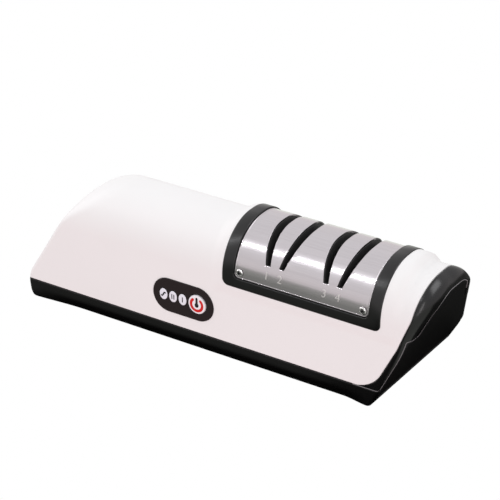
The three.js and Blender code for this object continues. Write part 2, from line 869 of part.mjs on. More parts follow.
function spacerBetween(x0, x1) {
  const bore = shaftRadius + gap;
  const outer = bore + wall;
  return turnedX([[x0, bore], [x0, outer], [x1, outer], [x1, bore]], shaftY, shaftZ, smallSides);
}

function wheelSpacers() {
  const leftFace = bulkheadLeftX + bulkheadThickness + bearingFlangeThickness;
  const rightFace = bulkheadRightX - bearingFlangeThickness;
  return [
    spacerBetween(leftFace + gap * 2, slotPairX[0] - hubEnd - gap),
    spacerBetween(slotPairX[0] + hubEnd + gap, slotPairX[1] - hubEnd - gap),
    spacerBetween(slotPairX[1] + hubEnd + gap, rightFace - gap * 2),
  ];
}

function shaftNut() {
  const x0 = bulkheadRightX + bulkheadThickness + gap * 2;
  const hexagon = Array.from({ length: nutCorners }, (_, i) => {
    const angle = (2 * Math.PI * i) / nutCorners;
    const r = nutWidth / (2 * Math.cos(Math.PI / nutCorners));
    return [shaftY + r * Math.cos(angle), shaftZ + r * Math.sin(angle)];
  });
  return alongX(hexagon, x0, x0 + nutThickness)
    .subtract(rodX(shaftRadius + gap, x0 - overrun, x0 + nutThickness + overrun, shaftY, shaftZ));
}

function bulkhead(x0, bearingSide) {
  const x1 = x0 + bulkheadThickness;
  const rest = innerFloorZ + bulkheadDeckGap;
  const section = alongX(rounded(endView, wall + gap), x0, x1);
  const keep = block(x0, x1, front, rear, rest, bulkheadTopZ);
  const seat = rodX(bearingRadius + gap, x0 - overrun, x1 + overrun, shaftY, shaftZ);
  let wallPiece = section.intersect(keep).subtract(seat);
  if (bearingSide > 0) {
    wallPiece = wallPiece.subtract(block(
      x0 - overrun, x1 + overrun, trayFrontY - gap * 2, trayBackY + gap * 2, footLift, trayTopZ + gap * 2,
    ));
  }
  return wallPiece;
}

// A flanged bush, its flange on the wheels' side of the bulkhead
function bearing(x0, flangeSide) {
  const bore = shaftRadius + gap;
  const x1 = x0 + bulkheadThickness;
  const flange = bearingRadius + bearingFlange;
  const body = turnedX([[x0, bore], [x0, bearingRadius], [x1, bearingRadius], [x1, bore]], shaftY, shaftZ);
  const flangeFrom = flangeSide > 0 ? x1 + gap : x0 - gap - bearingFlangeThickness;
  const reach = flangeSide > 0 ? x1 : x0 - gap;
  const collar = turnedX([
    [flangeFrom, bore], [flangeFrom, flange],
    [flangeFrom + bearingFlangeThickness - gap, flange], [flangeFrom + bearingFlangeThickness - gap, bore],
  ], shaftY, shaftZ);
  const neck = turnedX([
    [reach - gap, bore], [reach - gap, bearingRadius],
    [reach + gap * 2, bearingRadius], [reach + gap * 2, bore],
  ], shaftY, shaftZ);
  return body.add(neck).add(collar);
}

function motorCan() {
  const inner = motorRadius - motorWall;
  const hole = motorNeckRadius + gap;
  return turnedX([
    [motorBackX, inner],
    [motorBackX, motorRadius],
    [motorFrontX, motorRadius],
    [motorFrontX, motorBossRadius],
    [motorFrontX + motorBossLength, motorBossRadius],
    [motorFrontX + motorBossLength, hole],
    [motorFrontX - motorWall, hole],
    [motorFrontX - motorWall, inner],
  ], shaftY, shaftZ);
}

function motorEndCap() {
  const x1 = motorBackX - gap;
  const x0 = x1 - motorCapThickness;
  const cap = turnedX([
    [x0 - motorCapBossLength, 0],
    [x0 - motorCapBossLength, motorCapBossRadius],
    [x0, motorCapBossRadius],
    [x0, motorRadius],
    [x1, motorRadius],
    [x1, 0],
  ], shaftY, shaftZ);
  const bore = rodX(motorShaftRadius + gap, x0 - motorCapBossLength / 2, x1 + overrun, shaftY, shaftZ);
  const hollow = rodX(commutatorRadius + wall, x0 + motorCapThickness / 3, x1 + overrun, shaftY, shaftZ);
  let made = cap.subtract(bore).subtract(hollow);
  [-1, 1].forEach((side) => {
    const y = shaftY + side * terminalOffset;
    made = made.add(block(
      x0 - terminalLength, x0 + gap, y - terminalWidth / 2, y + terminalWidth / 2,
      shaftZ - terminalThickness / 2, shaftZ + terminalThickness / 2,
    ));
  });
  return made;
}

function motorMagnets() {
  const outer = motorRadius - motorWall - gap;
  const inner = outer - magnetThickness;
  const half = Math.PI * magnetShare;
  const middleX = (motorBackX + motorFrontX) / 2;
  return [0, Math.PI].map((centre) => {
    const steps = smallSides;
    const arc = Array.from({ length: steps + 1 }, (_, i) => centre - half + (2 * half * i) / steps);
    const outline = arc.map((a) => [shaftY + outer * Math.cos(a), shaftZ + outer * Math.sin(a)]).concat(
      arc.slice().reverse().map((a) => [shaftY + inner * Math.cos(a), shaftZ + inner * Math.sin(a)]),
    );
    return alongX(outline, middleX - magnetLength / 2, middleX + magnetLength / 2);
  });
}

function rotorCore() {
  const middleX = (motorBackX + motorFrontX) / 2;
  const bore = motorShaftRadius + gap;
  const coreLeft = middleX - rotorLength / 2;
  return turnedX([
    [coreLeft - commutatorLength, bore],
    [coreLeft - commutatorLength, commutatorRadius],
    [coreLeft, commutatorRadius],
    [coreLeft, rotorRadius],
    [middleX + rotorLength / 2, rotorRadius],
    [middleX + rotorLength / 2, bore],
  ], shaftY, shaftZ);
}

function motorShaft() {
  const x0 = motorBackX - gap - motorCapThickness - motorCapBossLength / 2 + gap;
  return rodX(motorShaftRadius, x0, spindleFromX - gap, shaftY, shaftZ);
}

function shaftCoupling() {
  const middleX = spindleFromX - gap / 2;
  const x0 = motorFrontX + motorBossLength + gap * 2;
  const x1 = x0 + Math.min(couplingLength, bulkheadLeftX - gap * 2 - x0);
  return turnedX([
    [x0, motorShaftRadius + gap],
    [x0, couplingRadius],
    [x1, couplingRadius],
    [x1, shaftRadius + gap],
    [middleX, shaftRadius + gap],
    [middleX, motorShaftRadius + gap],
  ], shaftY, shaftZ);
}

function motorCradle() {
  const x0 = motorBackX + cradleRibInset;
  const x1 = motorFrontX - cradleRibInset;
  const y0 = shaftY - cradleHalfWidth;
  const y1 = shaftY + cradleHalfWidth;
  const footZ = innerFloorZ + gap;
  const plate = block(x0, x1, y0, y1, footZ, footZ + cradlePlate);
  const ribs = [x0, x1 - cradleRibThickness].map((x) => (
    block(x, x + cradleRibThickness, y0, y1, footZ, cradleTopZ)
  ));
  const padX0 = strapX - strapWidth / 2;
  const padRadius = strapEar / 2;
  const pads = [-1, 1].map((side) => {
    const y = shaftY + side * strapScrewOffset;
    return block(padX0, padX0 + strapWidth, y - padRadius, y + padRadius, footZ, strapSeatZ - gap);
  });
  let cradle = plate.add(union(ribs)).add(union(pads));
  cradle = cradle.subtract(rodX(motorRadius + gap, x0 - overrun, x1 + overrun, shaftY, shaftZ, roundSides));
  strapScrewPlaces().forEach(([x, y]) => {
    cradle = cradle.subtract(rodZ(strapScrewRadius + gap, innerFloorZ, strapSeatZ, x, y));
  });
  return cradle;
}

function strapScrewPlaces() {
  return [-1, 1].map((side) => [strapX, shaftY + side * strapScrewOffset]);
}

function motorStrap() {
  const x0 = strapX - strapWidth / 2;
  const x1 = strapX + strapWidth / 2;
  const inner = motorRadius + gap;
  const outer = inner + strapThickness;
  const earReach = strapScrewOffset + strapEar / 2;
  const band = rodX(outer, x0, x1, shaftY, shaftZ, roundSides).intersect(above(shaftZ));
  const legs = block(x0, x1, shaftY - outer, shaftY + outer, strapSeatZ, shaftZ);
  const ears = block(x0, x1, shaftY - earReach, shaftY + earReach, strapSeatZ, strapSeatZ + strapThickness);
  const room = block(x0 - overrun, x1 + overrun, shaftY - inner, shaftY + inner, 0, shaftZ);
  const round = rodX(inner, x0 - overrun, x1 + overrun, shaftY, shaftZ, roundSides);
  let strap = band.add(legs).add(ears).subtract(room).subtract(round);
  strapScrewPlaces().forEach(([x, y]) => {
    strap = strap.subtract(rodZ(strapScrewRadius + gap, strapSeatZ - overrun, strapSeatZ + overrun, x, y));
  });
  return strap;
}

function strapScrews() {
  const seatZ = strapSeatZ + strapThickness + gap;
  return strapScrewPlaces().map(([x, y]) => (
    rodZ(strapScrewHeadRadius, seatZ, seatZ + strapScrewHeadThickness, x, y)
      .add(rodZ(strapScrewRadius, seatZ - strapScrewLength, seatZ + gap, x, y))
  ));
}

function cordGland() {
  const y1 = rear - glandSet;
  const y0 = rear - heelTuck - wall - glandLip;
  const lipEnd = y1 - glandLip;
  return turnedY([
    [y0, glandBore],
    [y0, glandNeckRadius],
    [lipEnd, glandNeckRadius],
    [lipEnd, glandRadius],
    [y1, glandRadius],
    [y1, glandBore],
  ], glandX, glandZ);
}

function footPlaces() {
  return [
    [left + footInsetX, front + footInsetY],
    [right - footInsetRightX, front + footInsetY],
    [left + footInsetX, rear - footInsetY - footRadius],
    [right - footInsetRightX, rear - footInsetY - footRadius],
  ];
}

function rubberFeet() {
  return footPlaces().map(([x, y]) => rodZ(footRadius, 0, footLift + footPocket - gap, x, y));
}

function baseScrews() {
  const headTop = footLift + housingScrewHeadThickness;
  return bossPlaces.map(([x, y]) => (
    rodZ(housingScrewHeadRadius, footLift + gap, headTop, x, y)
      .add(rodZ(housingScrewRadius, headTop - gap, footLift + housingScrewLength, x, y))
  ));
}

// A lead along a smooth line through points
function lead(points) {
  const bends = points.map(([x, y, z]) => new THREE.Vector3(x, y, z));
  const path = new THREE.CatmullRomCurve3(bends, false, 'centripetal');
  const shape = new THREE.Shape(Array.from({ length: leadSides }, (_, i) => {
    const angle = (2 * Math.PI * i) / leadSides;
    return new THREE.Vector2(leadRadius * Math.cos(angle), leadRadius * Math.sin(angle));
  }));
  const made = solid(new THREE.ExtrudeGeometry(shape, { steps: leadSteps, extrudePath: path }));
  return made.volume() < 0 ? flipped(made) : made;
}

function between(from, to, share) {
  return from + (to - from) * share;
}

function motorLead() {
  const boardEndX = panelX - boardWidth / 2;
  const tipX = motorBackX - gap - motorCapThickness - terminalLength;
  const tipY = shaftY - terminalOffset;
  const [low, rise, run, turn] = motorLeadShares.map((share) => (
    between(boardEndX - leadBend, tipX - leadBend, share)
  ));
  return lead([
    [boardEndX + leadBend, leadY, panelZ + leadBend],
    [low, leadY, panelZ + leadBend * 2],
    [rise, leadY, leadArchZ - leadBend],
    [run, leadY, leadArchZ],
    [turn, leadY, leadArchZ],
    [tipX - leadBend, (leadY + tipY) / 2, (leadArchZ + shaftZ) / 2],
    [tipX - leadBend, tipY, shaftZ + leadBend / 2],
    [tipX - gap - leadRadius, tipY, shaftZ],
  ]);
}

function supplyLead() {
  const glandEndY = rear - heelTuck - wall - glandLip;
  const behindY = leadY + leadRadius * 2 + gap;
  const lowZ = innerFloorZ + leadRadius + leadBend / 2;
  const highZ = leadArchZ + leadBend;
  const turnX = motorBackX - gap - motorCapThickness - terminalLength - leadTurn;
  const boardEndX = panelX - boardWidth / 4;
  const [first, middle, last] = supplyLeadShares.map((share) => (
    between(turnX, boardEndX - leadBend / 2, share)
  ));
  return lead([
    [glandX, glandEndY - leadBend, glandZ],
    [glandX, glandEndY - leadBend * 2, glandZ],
    [glandX, 0, lowZ],
    [turnX, shaftY - leadBend * 3, lowZ + leadBend],
    [turnX, behindY, shaftZ - leadBend * 3],
    [turnX + leadBend / 2, behindY, shaftZ],
    [first, behindY, highZ],
    [middle, behindY, highZ],
    [last, behindY, highZ - leadBend / 4],
    [boardEndX - leadBend / 2, leadY, panelZ + boardHeight / 2 + leadBend],
    [boardEndX, leadY, panelZ + leadBend],
  ]);
}

const white = { color: 0xf4eff0, roughness: 0.32, metalness: 0 };
const black = { color: 0x17171a, roughness: 0.45, metalness: 0 };
const glossBlack = { color: 0x101012, roughness: 0.16, metalness: 0 };
const mattBlack = { color: 0x2a2a2c, roughness: 0.7, metalness: 0 };
const steel = { color: 0xb9b4b6, roughness: 0.3, metalness: 1 };
const darkSteel = { color: 0x6d6e72, roughness: 0.4, metalness: 1 };
const bronze = { color: 0x9a7440, roughness: 0.45, metalness: 1 };
const abrasive = { color: 0x8d8f94, roughness: 0.85, metalness: 0.3 };
const coarse = { color: 0x5f6063, roughness: 0.95, metalness: 0.2 };
const rubber = { color: 0x1c1c1c, roughness: 0.9, metalness: 0 };
const board = { color: 0x1f5b38, roughness: 0.6, metalness: 0 };
const lamp = { color: 0xe6e8f2, roughness: 0.35, metalness: 0 };
const magnetic = { color: 0x3c3b3f, roughness: 0.6, metalness: 0.2 };
const copper = { color: 0xa5603a, roughness: 0.4, metalness: 1 };
const wireSkin = { color: 0xa01f1c, roughness: 0.6, metalness: 0 };

const pieces = [
  ['upper_shell', white, upperShell],
  ['base_shell', black, baseShell],
  ['end_bezel', glossBlack, endBezel],
  ['swarf_drawer', mattBlack, swarfDrawer],
  ['drawer_magnet', magnetic, drawerMagnet],
  ['plate_frame', black, plateFrame],
  ['steel_plate', steel, steelPlate],
  ['plate_screw', darkSteel, plateScrews],
  ['slot_guide', black, slotGuide],
  ['control_panel', black, controlPanel],
  ['mode_window', lamp, modeWindows],
  ['power_button', lamp, powerButton],
  ['switch_plunger', black, switchPlunger],
  ['button_switch', darkSteel, buttonSwitch],
  ['control_board', board, controlBoard],
  ['board_screw', darkSteel, boardScrews],
  ['mode_led', lamp, modeLeds],
  ['spindle', darkSteel, spindle],
  ['wheel_fine_left', abrasive, () => wheel(slotPairX[0], -1)],
  ['wheel_fine_right', abrasive, () => wheel(slotPairX[0], 1)],
  ['wheel_coarse_left', coarse, () => wheel(slotPairX[1], -1)],
  ['wheel_coarse_right', coarse, () => wheel(slotPairX[1], 1)],
  ['wheel_spacer', darkSteel, wheelSpacers],
  ['shaft_nut', darkSteel, shaftNut],
  ['bulkhead_left', mattBlack, () => bulkhead(bulkheadLeftX, -1)],
  ['bulkhead_right', mattBlack, () => bulkhead(bulkheadRightX, 1)],
  ['bearing_left', bronze, () => bearing(bulkheadLeftX, 1)],
  ['bearing_right', bronze, () => bearing(bulkheadRightX, -1)],
  ['motor_can', darkSteel, motorCan],
  ['motor_end_cap', mattBlack, motorEndCap],
  ['motor_magnet', magnetic, motorMagnets],
  ['rotor_core', copper, rotorCore],
  ['motor_shaft', darkSteel, motorShaft],
  ['shaft_coupling', rubber, shaftCoupling],
  ['motor_cradle', mattBlack, motorCradle],
  ['motor_strap', darkSteel, motorStrap],
  ['strap_screw', darkSteel, strapScrews],
  ['cord_gland', rubber, cordGland],
  ['rubber_foot', rubber, rubberFeet],
  ['base_screw', darkSteel, baseScrews],
  ['motor_lead', wireSkin, motorLead],
  ['supply_lead', wireSkin, supplyLead],
];

function meshOf(name, look, made) {
  const mesh = made.getMesh();
  const geometry = new THREE.BufferGeometry();
  geometry.setAttribute('position', new THREE.BufferAttribute(new Float32Array(mesh.vertProperties), 3));
  geometry.setIndex(new THREE.BufferAttribute(new Uint32Array(mesh.triVerts), 1));
  geometry.computeVertexNormals();
  const piece = new THREE.Mesh(geometry, new THREE.MeshStandardMaterial(look));
  piece.name = name;
  return piece;
}

const group = new THREE.Group();
pieces.forEach(([name, look, make]) => {
  const made = make();
  if (Array.isArray(made)) {
    made.forEach((one, i) => group.add(meshOf(`${name}_${i + 1}`, look, one)));
  } else {
    group.add(meshOf(name, look, made));
  }
});

export default group;
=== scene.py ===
"""Looks of the electric knife sharpener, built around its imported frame.

Sizes are in millimetres here and become metres where a mesh is made.
+X runs to the right end, +Y to the back, +Z up.
"""

import math

import bmesh
import bpy
import numpy as np
from mathutils import Matrix, Vector


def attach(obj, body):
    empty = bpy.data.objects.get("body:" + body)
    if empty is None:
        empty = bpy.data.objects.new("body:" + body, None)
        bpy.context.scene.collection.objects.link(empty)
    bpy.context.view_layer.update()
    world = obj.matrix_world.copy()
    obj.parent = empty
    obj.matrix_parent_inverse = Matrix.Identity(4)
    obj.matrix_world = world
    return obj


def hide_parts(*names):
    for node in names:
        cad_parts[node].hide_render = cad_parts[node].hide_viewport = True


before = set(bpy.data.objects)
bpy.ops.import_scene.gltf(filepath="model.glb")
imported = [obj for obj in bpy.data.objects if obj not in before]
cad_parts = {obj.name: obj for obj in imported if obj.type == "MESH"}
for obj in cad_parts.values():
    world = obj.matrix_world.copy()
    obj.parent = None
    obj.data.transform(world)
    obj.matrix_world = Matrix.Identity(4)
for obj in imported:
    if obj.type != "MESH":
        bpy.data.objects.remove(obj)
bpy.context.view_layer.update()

MM = 0.001

# Outlines, [u, v, radius] for each corner: in end view (Y, Z) or in front view (X, Z).
# Those of the housing run on below the floor, where nothing is cut from them.
END_VIEW = [
    (-40.2, -60, 1), (-40.2, 67.6, 22), (-5.8, 67.6, 16), (41.6, 13, 8), (41.6, 7, 4), (1.4, -60, 1),
]
ENDS_VIEW = [
    (-81.5, -60, 1), (-113, 3, 5), (-113, 13, 16), (-58.8, 100, 1), (113, 100, 1), (113, 58, 14),
    (55, -60, 1),
]
SADDLE_VIEW = [(-40.2, 36, 3), (-41.6, 41, 3), (-41.6, 71.4, 24.4), (-3.6, 71.4, 20), (20.6, 36, 3)]
WHITE_EDGE = [
    (85.83, 10.7, 16), (98.1, 35.1, 12), (104.2, 51, 12), (106.6, 67.6, 12), (106.6, 90, 1), (0, 90, 1),
    (0, 10.7, 1),
]
DRAWER_VIEW = [
    (-39, 3.9, 0.8), (-39, 40.4, 0.8), (-30.6, 40.4, 1.6), (-30.6, 60.6, 14), (-4, 60.6, 12),
    (12.9, 40.4, 1.6), (16.4, 40.4, 0.8), (39.8, 13.4, 7), (39.8, 7, 4), (38.2, 3.9, 0.8),
]
FOOT_Z, BAND_TOP_Z, SHELL_FOOT_Z, TOP_Z = 1.0, 10.4, 10.7, 71.4
FRONT_Y = -40.2
PART_GAP = 0.3

# How round the edges between the long sides and the ends are, and over which heights or depths that changes
LEFT_RADIUS, LEFT_FOOT_MORE, LEFT_TOP_MORE = 2.0, 1.5, 12.0
LEFT_FOOT_Z, LEFT_TOP_Z = (1, 10), (46, 68)
FRONT_RADIUS, FRONT_TOP_MORE, FRONT_TOP_Z = 1.6, 6.4, (26, 58)
REAR_RADIUS, REAR_Y = 1.8, (-16, 6)

# The white saddle under the plate frame: where it rises and falls, how far below the frame, its soft foot
SADDLE_RISE_X, SADDLE_FALL_X = (-3.5, 4.4), (94.8, 99.8)
SADDLE_SINK = 0.35
SADDLE_BLEND = 1.6

# The black band below: how far its lower half is tucked under, and where along the housing
TUCK, TUCK_CURVE = 2.0, 1.3
TUCK_Z, TUCK_LEFT_X, TUCK_RIGHT_X = (1.2, 7.8), (-114, -80), (70, 84)

# Where the rays start that find the skin, how far they go, and the steps of a rounded corner
SPINE_Y, SPINE_Z = -12.0, 44.0
LEFT_HUB_X, RIGHT_HUB_X, LEAST_TURN = -70.0, 62.0, 2.0
END_START_X = 60.0
END_HUB_X, END_HUB_Z = 70.0, 30.0
RAY_REACH = 130.0
FORWARD = np.array([1.0, 0.0, 0.0])
ARC_STEP = math.radians(2.5)

# Rolled edges: their radius, and how far in the wall goes behind them
SHELL_LIP, RIM_LIP, SEAM_LIP, BAND_LIP, FACE_LIP = 0.45, 0.4, 0.3, 0.4, 0.4
LIP_DEPTH, SHELL_END_DEPTH, BAND_LIP_DEPTH = 2.2, 0.85, 2.4
BAND_FOOT_RADIUS = 0.6
# From here to the right end, the rows of the white housing lean more and more with its edge
LEAN_START_X = -5.0
# How far the white housing runs on under the frame's sides and foot, and under the panel
UNDER_FRAME_SIDE, UNDER_FRAME_FOOT, UNDER_PANEL = 3.0, 2.4, 2.0

# Right end: the seam round the end face, the rim's inner wall and the grey line on its edge, which is a
# painted highlight
SEAM_GAP, SEAM_STEP, SEAM_JOIN = 0.3, 0.9, 0.25
RIM_BACK_X = 80.5
FACE_SUNK, FACE_DEPTH, FACE_HUB = 0.12, 3.0, np.array([-6.0, 30.0])
RIM_BUNCHING = 1.4
LINE_RADIUS, LINE_SUNK, LINE_RAY_LEAN = 0.2, 0.175, 4
LINE_FRONT_Z, LINE_REAR_Z = 12.6, 50.0
LINE_FOOT_X = (76.0, 87.6, 0.8)
# The bend from the line's foot up to the seam: x, y and height above the foot
LINE_BEND = [(88.6, -40.0, 0.05), (89.3, -39.6, 0.3), (89.8, -39.2, 0.9)]

# Tray behind the end face, and its mouth in the band
DRAWER_FOOT_Z = 3.9
TRAY_X, TRAY_Y, TRAY_TOP_Z = 17.5, (-30.4, 17.0), 15.0
TRAY_WALL, TRAY_CORNER, TRAY_SHARP, TRAY_END_GAP, TRAY_MIDDLE = 1.6, 3.0, 0.6, 2.0, 22.0
TRAY_SOLE, TRAY_RIM, TRAY_FILLET = 1.2, 0.5, 1.4
MOUTH_Y, MOUTH_DEPTH = (-39.15, 40.5), 1.5
# Degrees round each end, in plan, to the corner where the rays lie close together
RIGHT_CORNER, LEFT_CORNER = 33, 47

# Plate frame, plate, numerals and slots
FRAME_X = (4.9, 90.2)
FRAME_FOOT_Z = 42.2
FRAME_CORNER, FRAME_EDGE, OPENING_EDGE = 3.5, 0.8, 0.35
FRAME_THICK, OPENING_DEPTH = 2.6, 2.0
PLATE_X = (11.5, 83.6)
PLATE_FOOT_Z = 47.5
PLATE_CORNER = 2.5
PLATE_PLAY = 0.15
PLATE_SET = 0.8
PLATE_THICK = 0.8
PLATE_BEVEL = 0.2
SLOT_PAIRS = (32.3, 63.3)
SLOT_FOOT_Z = 57.5
SLOT_HALF_GAP = 3.6
SLOT_LEAN = 0.242
SLOT_WIDTHS = (2.6, 4.6)
# Steps of the plate's mesh across each bar and each slot, and of a loop along the arch and across it
PLATE_STEPS = (8, 1, 6, 1, 6, 1, 6, 1, 8)
LOOP_STEPS = (111, 13, 111, 13)
LEAST_CORNER, SHARP_EDGE = 0.15, 1.2
# Each step down a slot's throat: how much wider than the slot, how deep
THROAT_STEPS = [
    (2.2, 1.75), (0.1, 1.75), (-0.15, 1.85), (-0.25, 2.1), (-0.5, 6.0), (-0.9, 12.0), (-1.1, 15.5),
]
NUMERAL_SIZE, NUMERAL_FOOT_Z, NUMERAL_THIN = 5.6, 51.2, -0.04
NUMERAL_PROUD, NUMERAL_DEPTH = 0.05, 0.2
SCREW_INSET, SCREW_FACE_Y = 3, -41.5

# Panel, windows and button
PANEL_AT = (-18.0, 26.4)
PANEL_SIZE = (35.0, 18.0)
PANEL_FACE_Y = -40.6
PANEL_EDGE, BORE_EDGE, BORE_PLAY = 0.35, 0.2, 0.3
BUTTON_X = -9.7
BUTTON_RADIUS = 4.85
BUTTON_FACE_Y = -41.2
BUTTON_EDGE, BUTTON_DEPTH = 0.45, 1.8
PANEL_BACK_Y, BORE_DEPTH = -39.0, 3.0
WINDOW_XS = (-29.2, -23.7, -18.2)
# A window's lens from its edge inwards: half width, half height and Y from the panel's face
LENS_STEPS = [(2.25, 2.95, 0.1), (2.22, 2.92, -0.1), (2.08, 2.78, -0.18), (1.0, 1.5, -0.22)]
SIGN_OFF, SIGN_THICK, BAR_HALF, BAR_HALF_WIDTH = 0.2, 0.06, 1.15, 0.27
RING_RADIUS, RING_HALF_WIDTH, RING_THICK, STEM_FOOT = 3.2, 0.7, 0.07, -0.45
RING_ENDS = (48, -228)


def unit(ways):
    """The same directions, each of length 1."""
    return ways / np.linalg.norm(ways, axis=1)[:, None]


def beside(*columns):
    """Points from their coordinates; a single value counts for every point."""
    return np.stack(np.broadcast_arrays(*columns), -1)


def left_of(ways):
    """The directions a quarter turn to the left."""
    return beside(-ways[:, 1], ways[:, 0])


def ease(x, start, end):
    """A soft step from 0 at start to 1 at end."""
    t = np.clip((x - start) / (end - start), 0, 1)
    return t * t * (3 - 2 * t)


def quarter(radius, steps=3):
    """Steps round a quarter circle: how far it has turned in, and how far it still has to rise."""
    angles = np.radians(np.linspace(0, 90, steps + 1))
    return [(radius * (1 - math.cos(a)), radius * (1 - math.sin(a))) for a in angles]


def halved(count, low, high, beyond, steps):
    """The values between low and high where a test begins to hold, found by halving."""
    low, high = np.full(count, low), np.full(count, high)
    for _ in range(steps):
        middle = (low + high) / 2
        past = beyond(middle)
        low, high = np.where(past, low, middle), np.where(past, middle, high)
    return (low + high) / 2


def rounded(corners):
    """The outline with its corners rounded, as points."""
    points = np.array([c[:2] for c in corners], float)
    run = unit(np.roll(points, -1, 0) - points)
    out = []
    for i, (*_, radius) in enumerate(corners):
        before, here = run[i - 1], run[i]
        turn = math.copysign(1, before[0] * here[1] - before[1] * here[0])
        bend = math.acos(max(-1.0, min(1.0, float(before @ here))))
        start = points[i] - before * (radius * math.tan(bend / 2))
        centre = start + radius * turn * np.array([-before[1], before[0]])
        first = math.atan2(*(start - centre)[::-1])
        steps = max(round(bend / ARC_STEP), 1)
        for k in range(steps + 1):
            angle = first + turn * bend * k / steps
            out.append(centre + radius * np.array([math.cos(angle), math.sin(angle)]))
    return np.array(out)


def distance_from(corners):
    """How far a point lies outside a convex outline that runs clockwise; less than zero inside."""
    points = rounded(corners)
    run = np.roll(points, -1, 0) - points
    keep = np.linalg.norm(run, axis=1) > 1e-6
    normal = left_of(unit(run[keep]))
    reach = np.sum(normal * points[keep], 1)
    return lambda u, v: np.max(np.outer(u, normal[:, 0]) + np.outer(v, normal[:, 1]) - reach, axis=1)


def right_side(corners, beyond, below):
    """X of an outline's right side at each height, without the lines that close the outline."""
    chain = rounded(corners)
    chain = chain[(chain[:, 0] > beyond) & (chain[:, 1] < below)]
    rising = chain[np.argsort(chain[:, 1], kind="stable")]
    return lambda z: np.interp(z, rising[:, 1], rising[:, 0])


end_distance = distance_from(END_VIEW)
ends_distance = distance_from(ENDS_VIEW)
saddle_distance = distance_from(SADDLE_VIEW)
edge_x = right_side(WHITE_EDGE, 59.5, 89)
end_x = right_side(ENDS_VIEW, 54, 99)


def edge_radius(x, y, z):
    """How round the edge is between the long sides and the ends."""
    left = LEFT_RADIUS + LEFT_FOOT_MORE * (1 - ease(z, *LEFT_FOOT_Z)) + LEFT_TOP_MORE * ease(z, *LEFT_TOP_Z)
    front = FRONT_RADIUS + FRONT_TOP_MORE * ease(z, *FRONT_TOP_Z)
    right = front + (REAR_RADIUS - front) * ease(y, *REAR_Y)
    return np.where(x < 0, left, right)


def soft_meet(a, b, r):
    """The edge where two faces meet, rounded to radius r."""
    u, v = np.maximum(a + r, 0), np.maximum(b + r, 0)
    return np.minimum(np.maximum(a, b) + r, 0) + np.hypot(u, v) - r


def skin(x, y, z):
    """How far a point lies outside the whole outer form."""
    section = end_distance(y, z)
    raised = saddle_distance(y, z) + SADDLE_SINK
    blend = np.clip(0.5 + 0.5 * (section - raised) / SADDLE_BLEND, 0, 1)
    joined = section + (raised - section) * blend - SADDLE_BLEND * blend * (1 - blend) * 0.5
    share = ease(x, *SADDLE_RISE_X) * (1 - ease(x, *SADDLE_FALL_X))
    section = section + share * (np.minimum(joined, section) - section)
    return soft_meet(section, ends_distance(x, z), edge_radius(x, y, z))


def band_skin(x, y, z):
    """The black band below the white housing, tucked under in its lower half."""
    tuck = TUCK * (1 - ease(z, *TUCK_Z)) ** TUCK_CURVE * ease(x, *TUCK_LEFT_X) * (1 - ease(x, *TUCK_RIGHT_X))
    return soft_meet(end_distance(y, z), ends_distance(x, z), edge_radius(x, y, z)) + tuck


def strike(start, direction, level=0.0, follow=0.0, form=skin):
    """Where rays leave a form, or the form moved inwards by a level.

    A ray with follow > 0 leans with the white housing's edge as it rises.
    """

    def at(run):
        point = start + direction * run[:, None]
        point[:, 0] += follow * edge_x(point[:, 2])
        return point

    return at(halved(len(start), 0.0, RAY_REACH, lambda run: form(*at(run).T) + level > 0, 26))


def section_rays():
    """Rays in the section plane, from the white housing's front foot over the top to its rear foot.

    Each is (start y, start z, direction y, direction z, level). The first and the last roll the foot inwards.
    """
    rays = [(SPINE_Y, SHELL_FOOT_Z, -1, 0, LIP_DEPTH)]
    rays += [(SPINE_Y, SHELL_FOOT_Z + into, -1, 0, rise) for into, rise in quarter(SHELL_LIP, 4)]
    first = math.ceil(SHELL_FOOT_Z + SHELL_LIP + 0.6)
    rays += [(SPINE_Y, float(z), -1, 0, 0) for z in np.arange(first, SPINE_Z)]
    mirrored = [(y, z, -dy, dz, level) for y, z, dy, dz, level in reversed(rays)]
    fan = [(SPINE_Y, SPINE_Z, math.cos(a), math.sin(a), 0) for a in np.radians(np.linspace(180, 0, 91))]
    return np.array(rays + fan + mirrored)


def grid_faces(rows, columns, ring=False):
    """Four-sided faces between the points of a grid; a ring also joins each row's end to its start."""
    index = np.arange(rows * columns).reshape(rows, columns)
    across = np.roll(index, -1, 1) if ring else index[:, 1:]
    here = index if ring else index[:, :-1]
    return np.stack([here[:-1], across[:-1], across[1:], here[1:]], -1).reshape(-1, 4)


def new_piece(name, points, faces, finish, body="housing", stands_for=(), slot=None, crease=40):
    """A piece of the object from points in millimetres."""
    mesh = bpy.data.meshes.new(name)
    mesh.from_pydata((np.asarray(points).reshape(-1, 3) * MM).tolist(), [], faces)
    mesh.materials.append(finish)
    made = bpy.data.objects.new(name, mesh)
    bpy.context.scene.collection.objects.link(made)
    settle(made, crease)
    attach(made, body)
    if stands_for:
        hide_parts(*stands_for)


def settle(made, crease):
    """Welds doubled points, turns the faces outwards and shades the piece smooth up to a crease angle."""
    work = bmesh.new()
    work.from_mesh(made.data)
    bmesh.ops.remove_doubles(work, verts=work.verts, dist=2e-6)
    bmesh.ops.dissolve_degenerate(work, edges=work.edges, dist=1e-6)
    drop_loose(work)
    bmesh.ops.recalc_face_normals(work, faces=work.faces)
    for face in work.faces:
        face.smooth = True
    for edge in work.edges:
        edge.smooth = not (len(edge.link_faces) == 2 and edge.calc_face_angle() > math.radians(crease))
    work.to_mesh(made.data)
    work.free()


def drop_loose(work):
    """Deletes the points that no face uses."""
    bmesh.ops.delete(work, geom=[v for v in work.verts if not v.link_faces], context="VERTS")


def thicken(work, by):
    """Gives a flat sheet a thickness along Z."""
    grown = bmesh.ops.extrude_face_region(work, geom=list(work.faces))
    for v in grown["geom"]:
        if isinstance(v, bmesh.types.BMVert):
            v.co.z += by


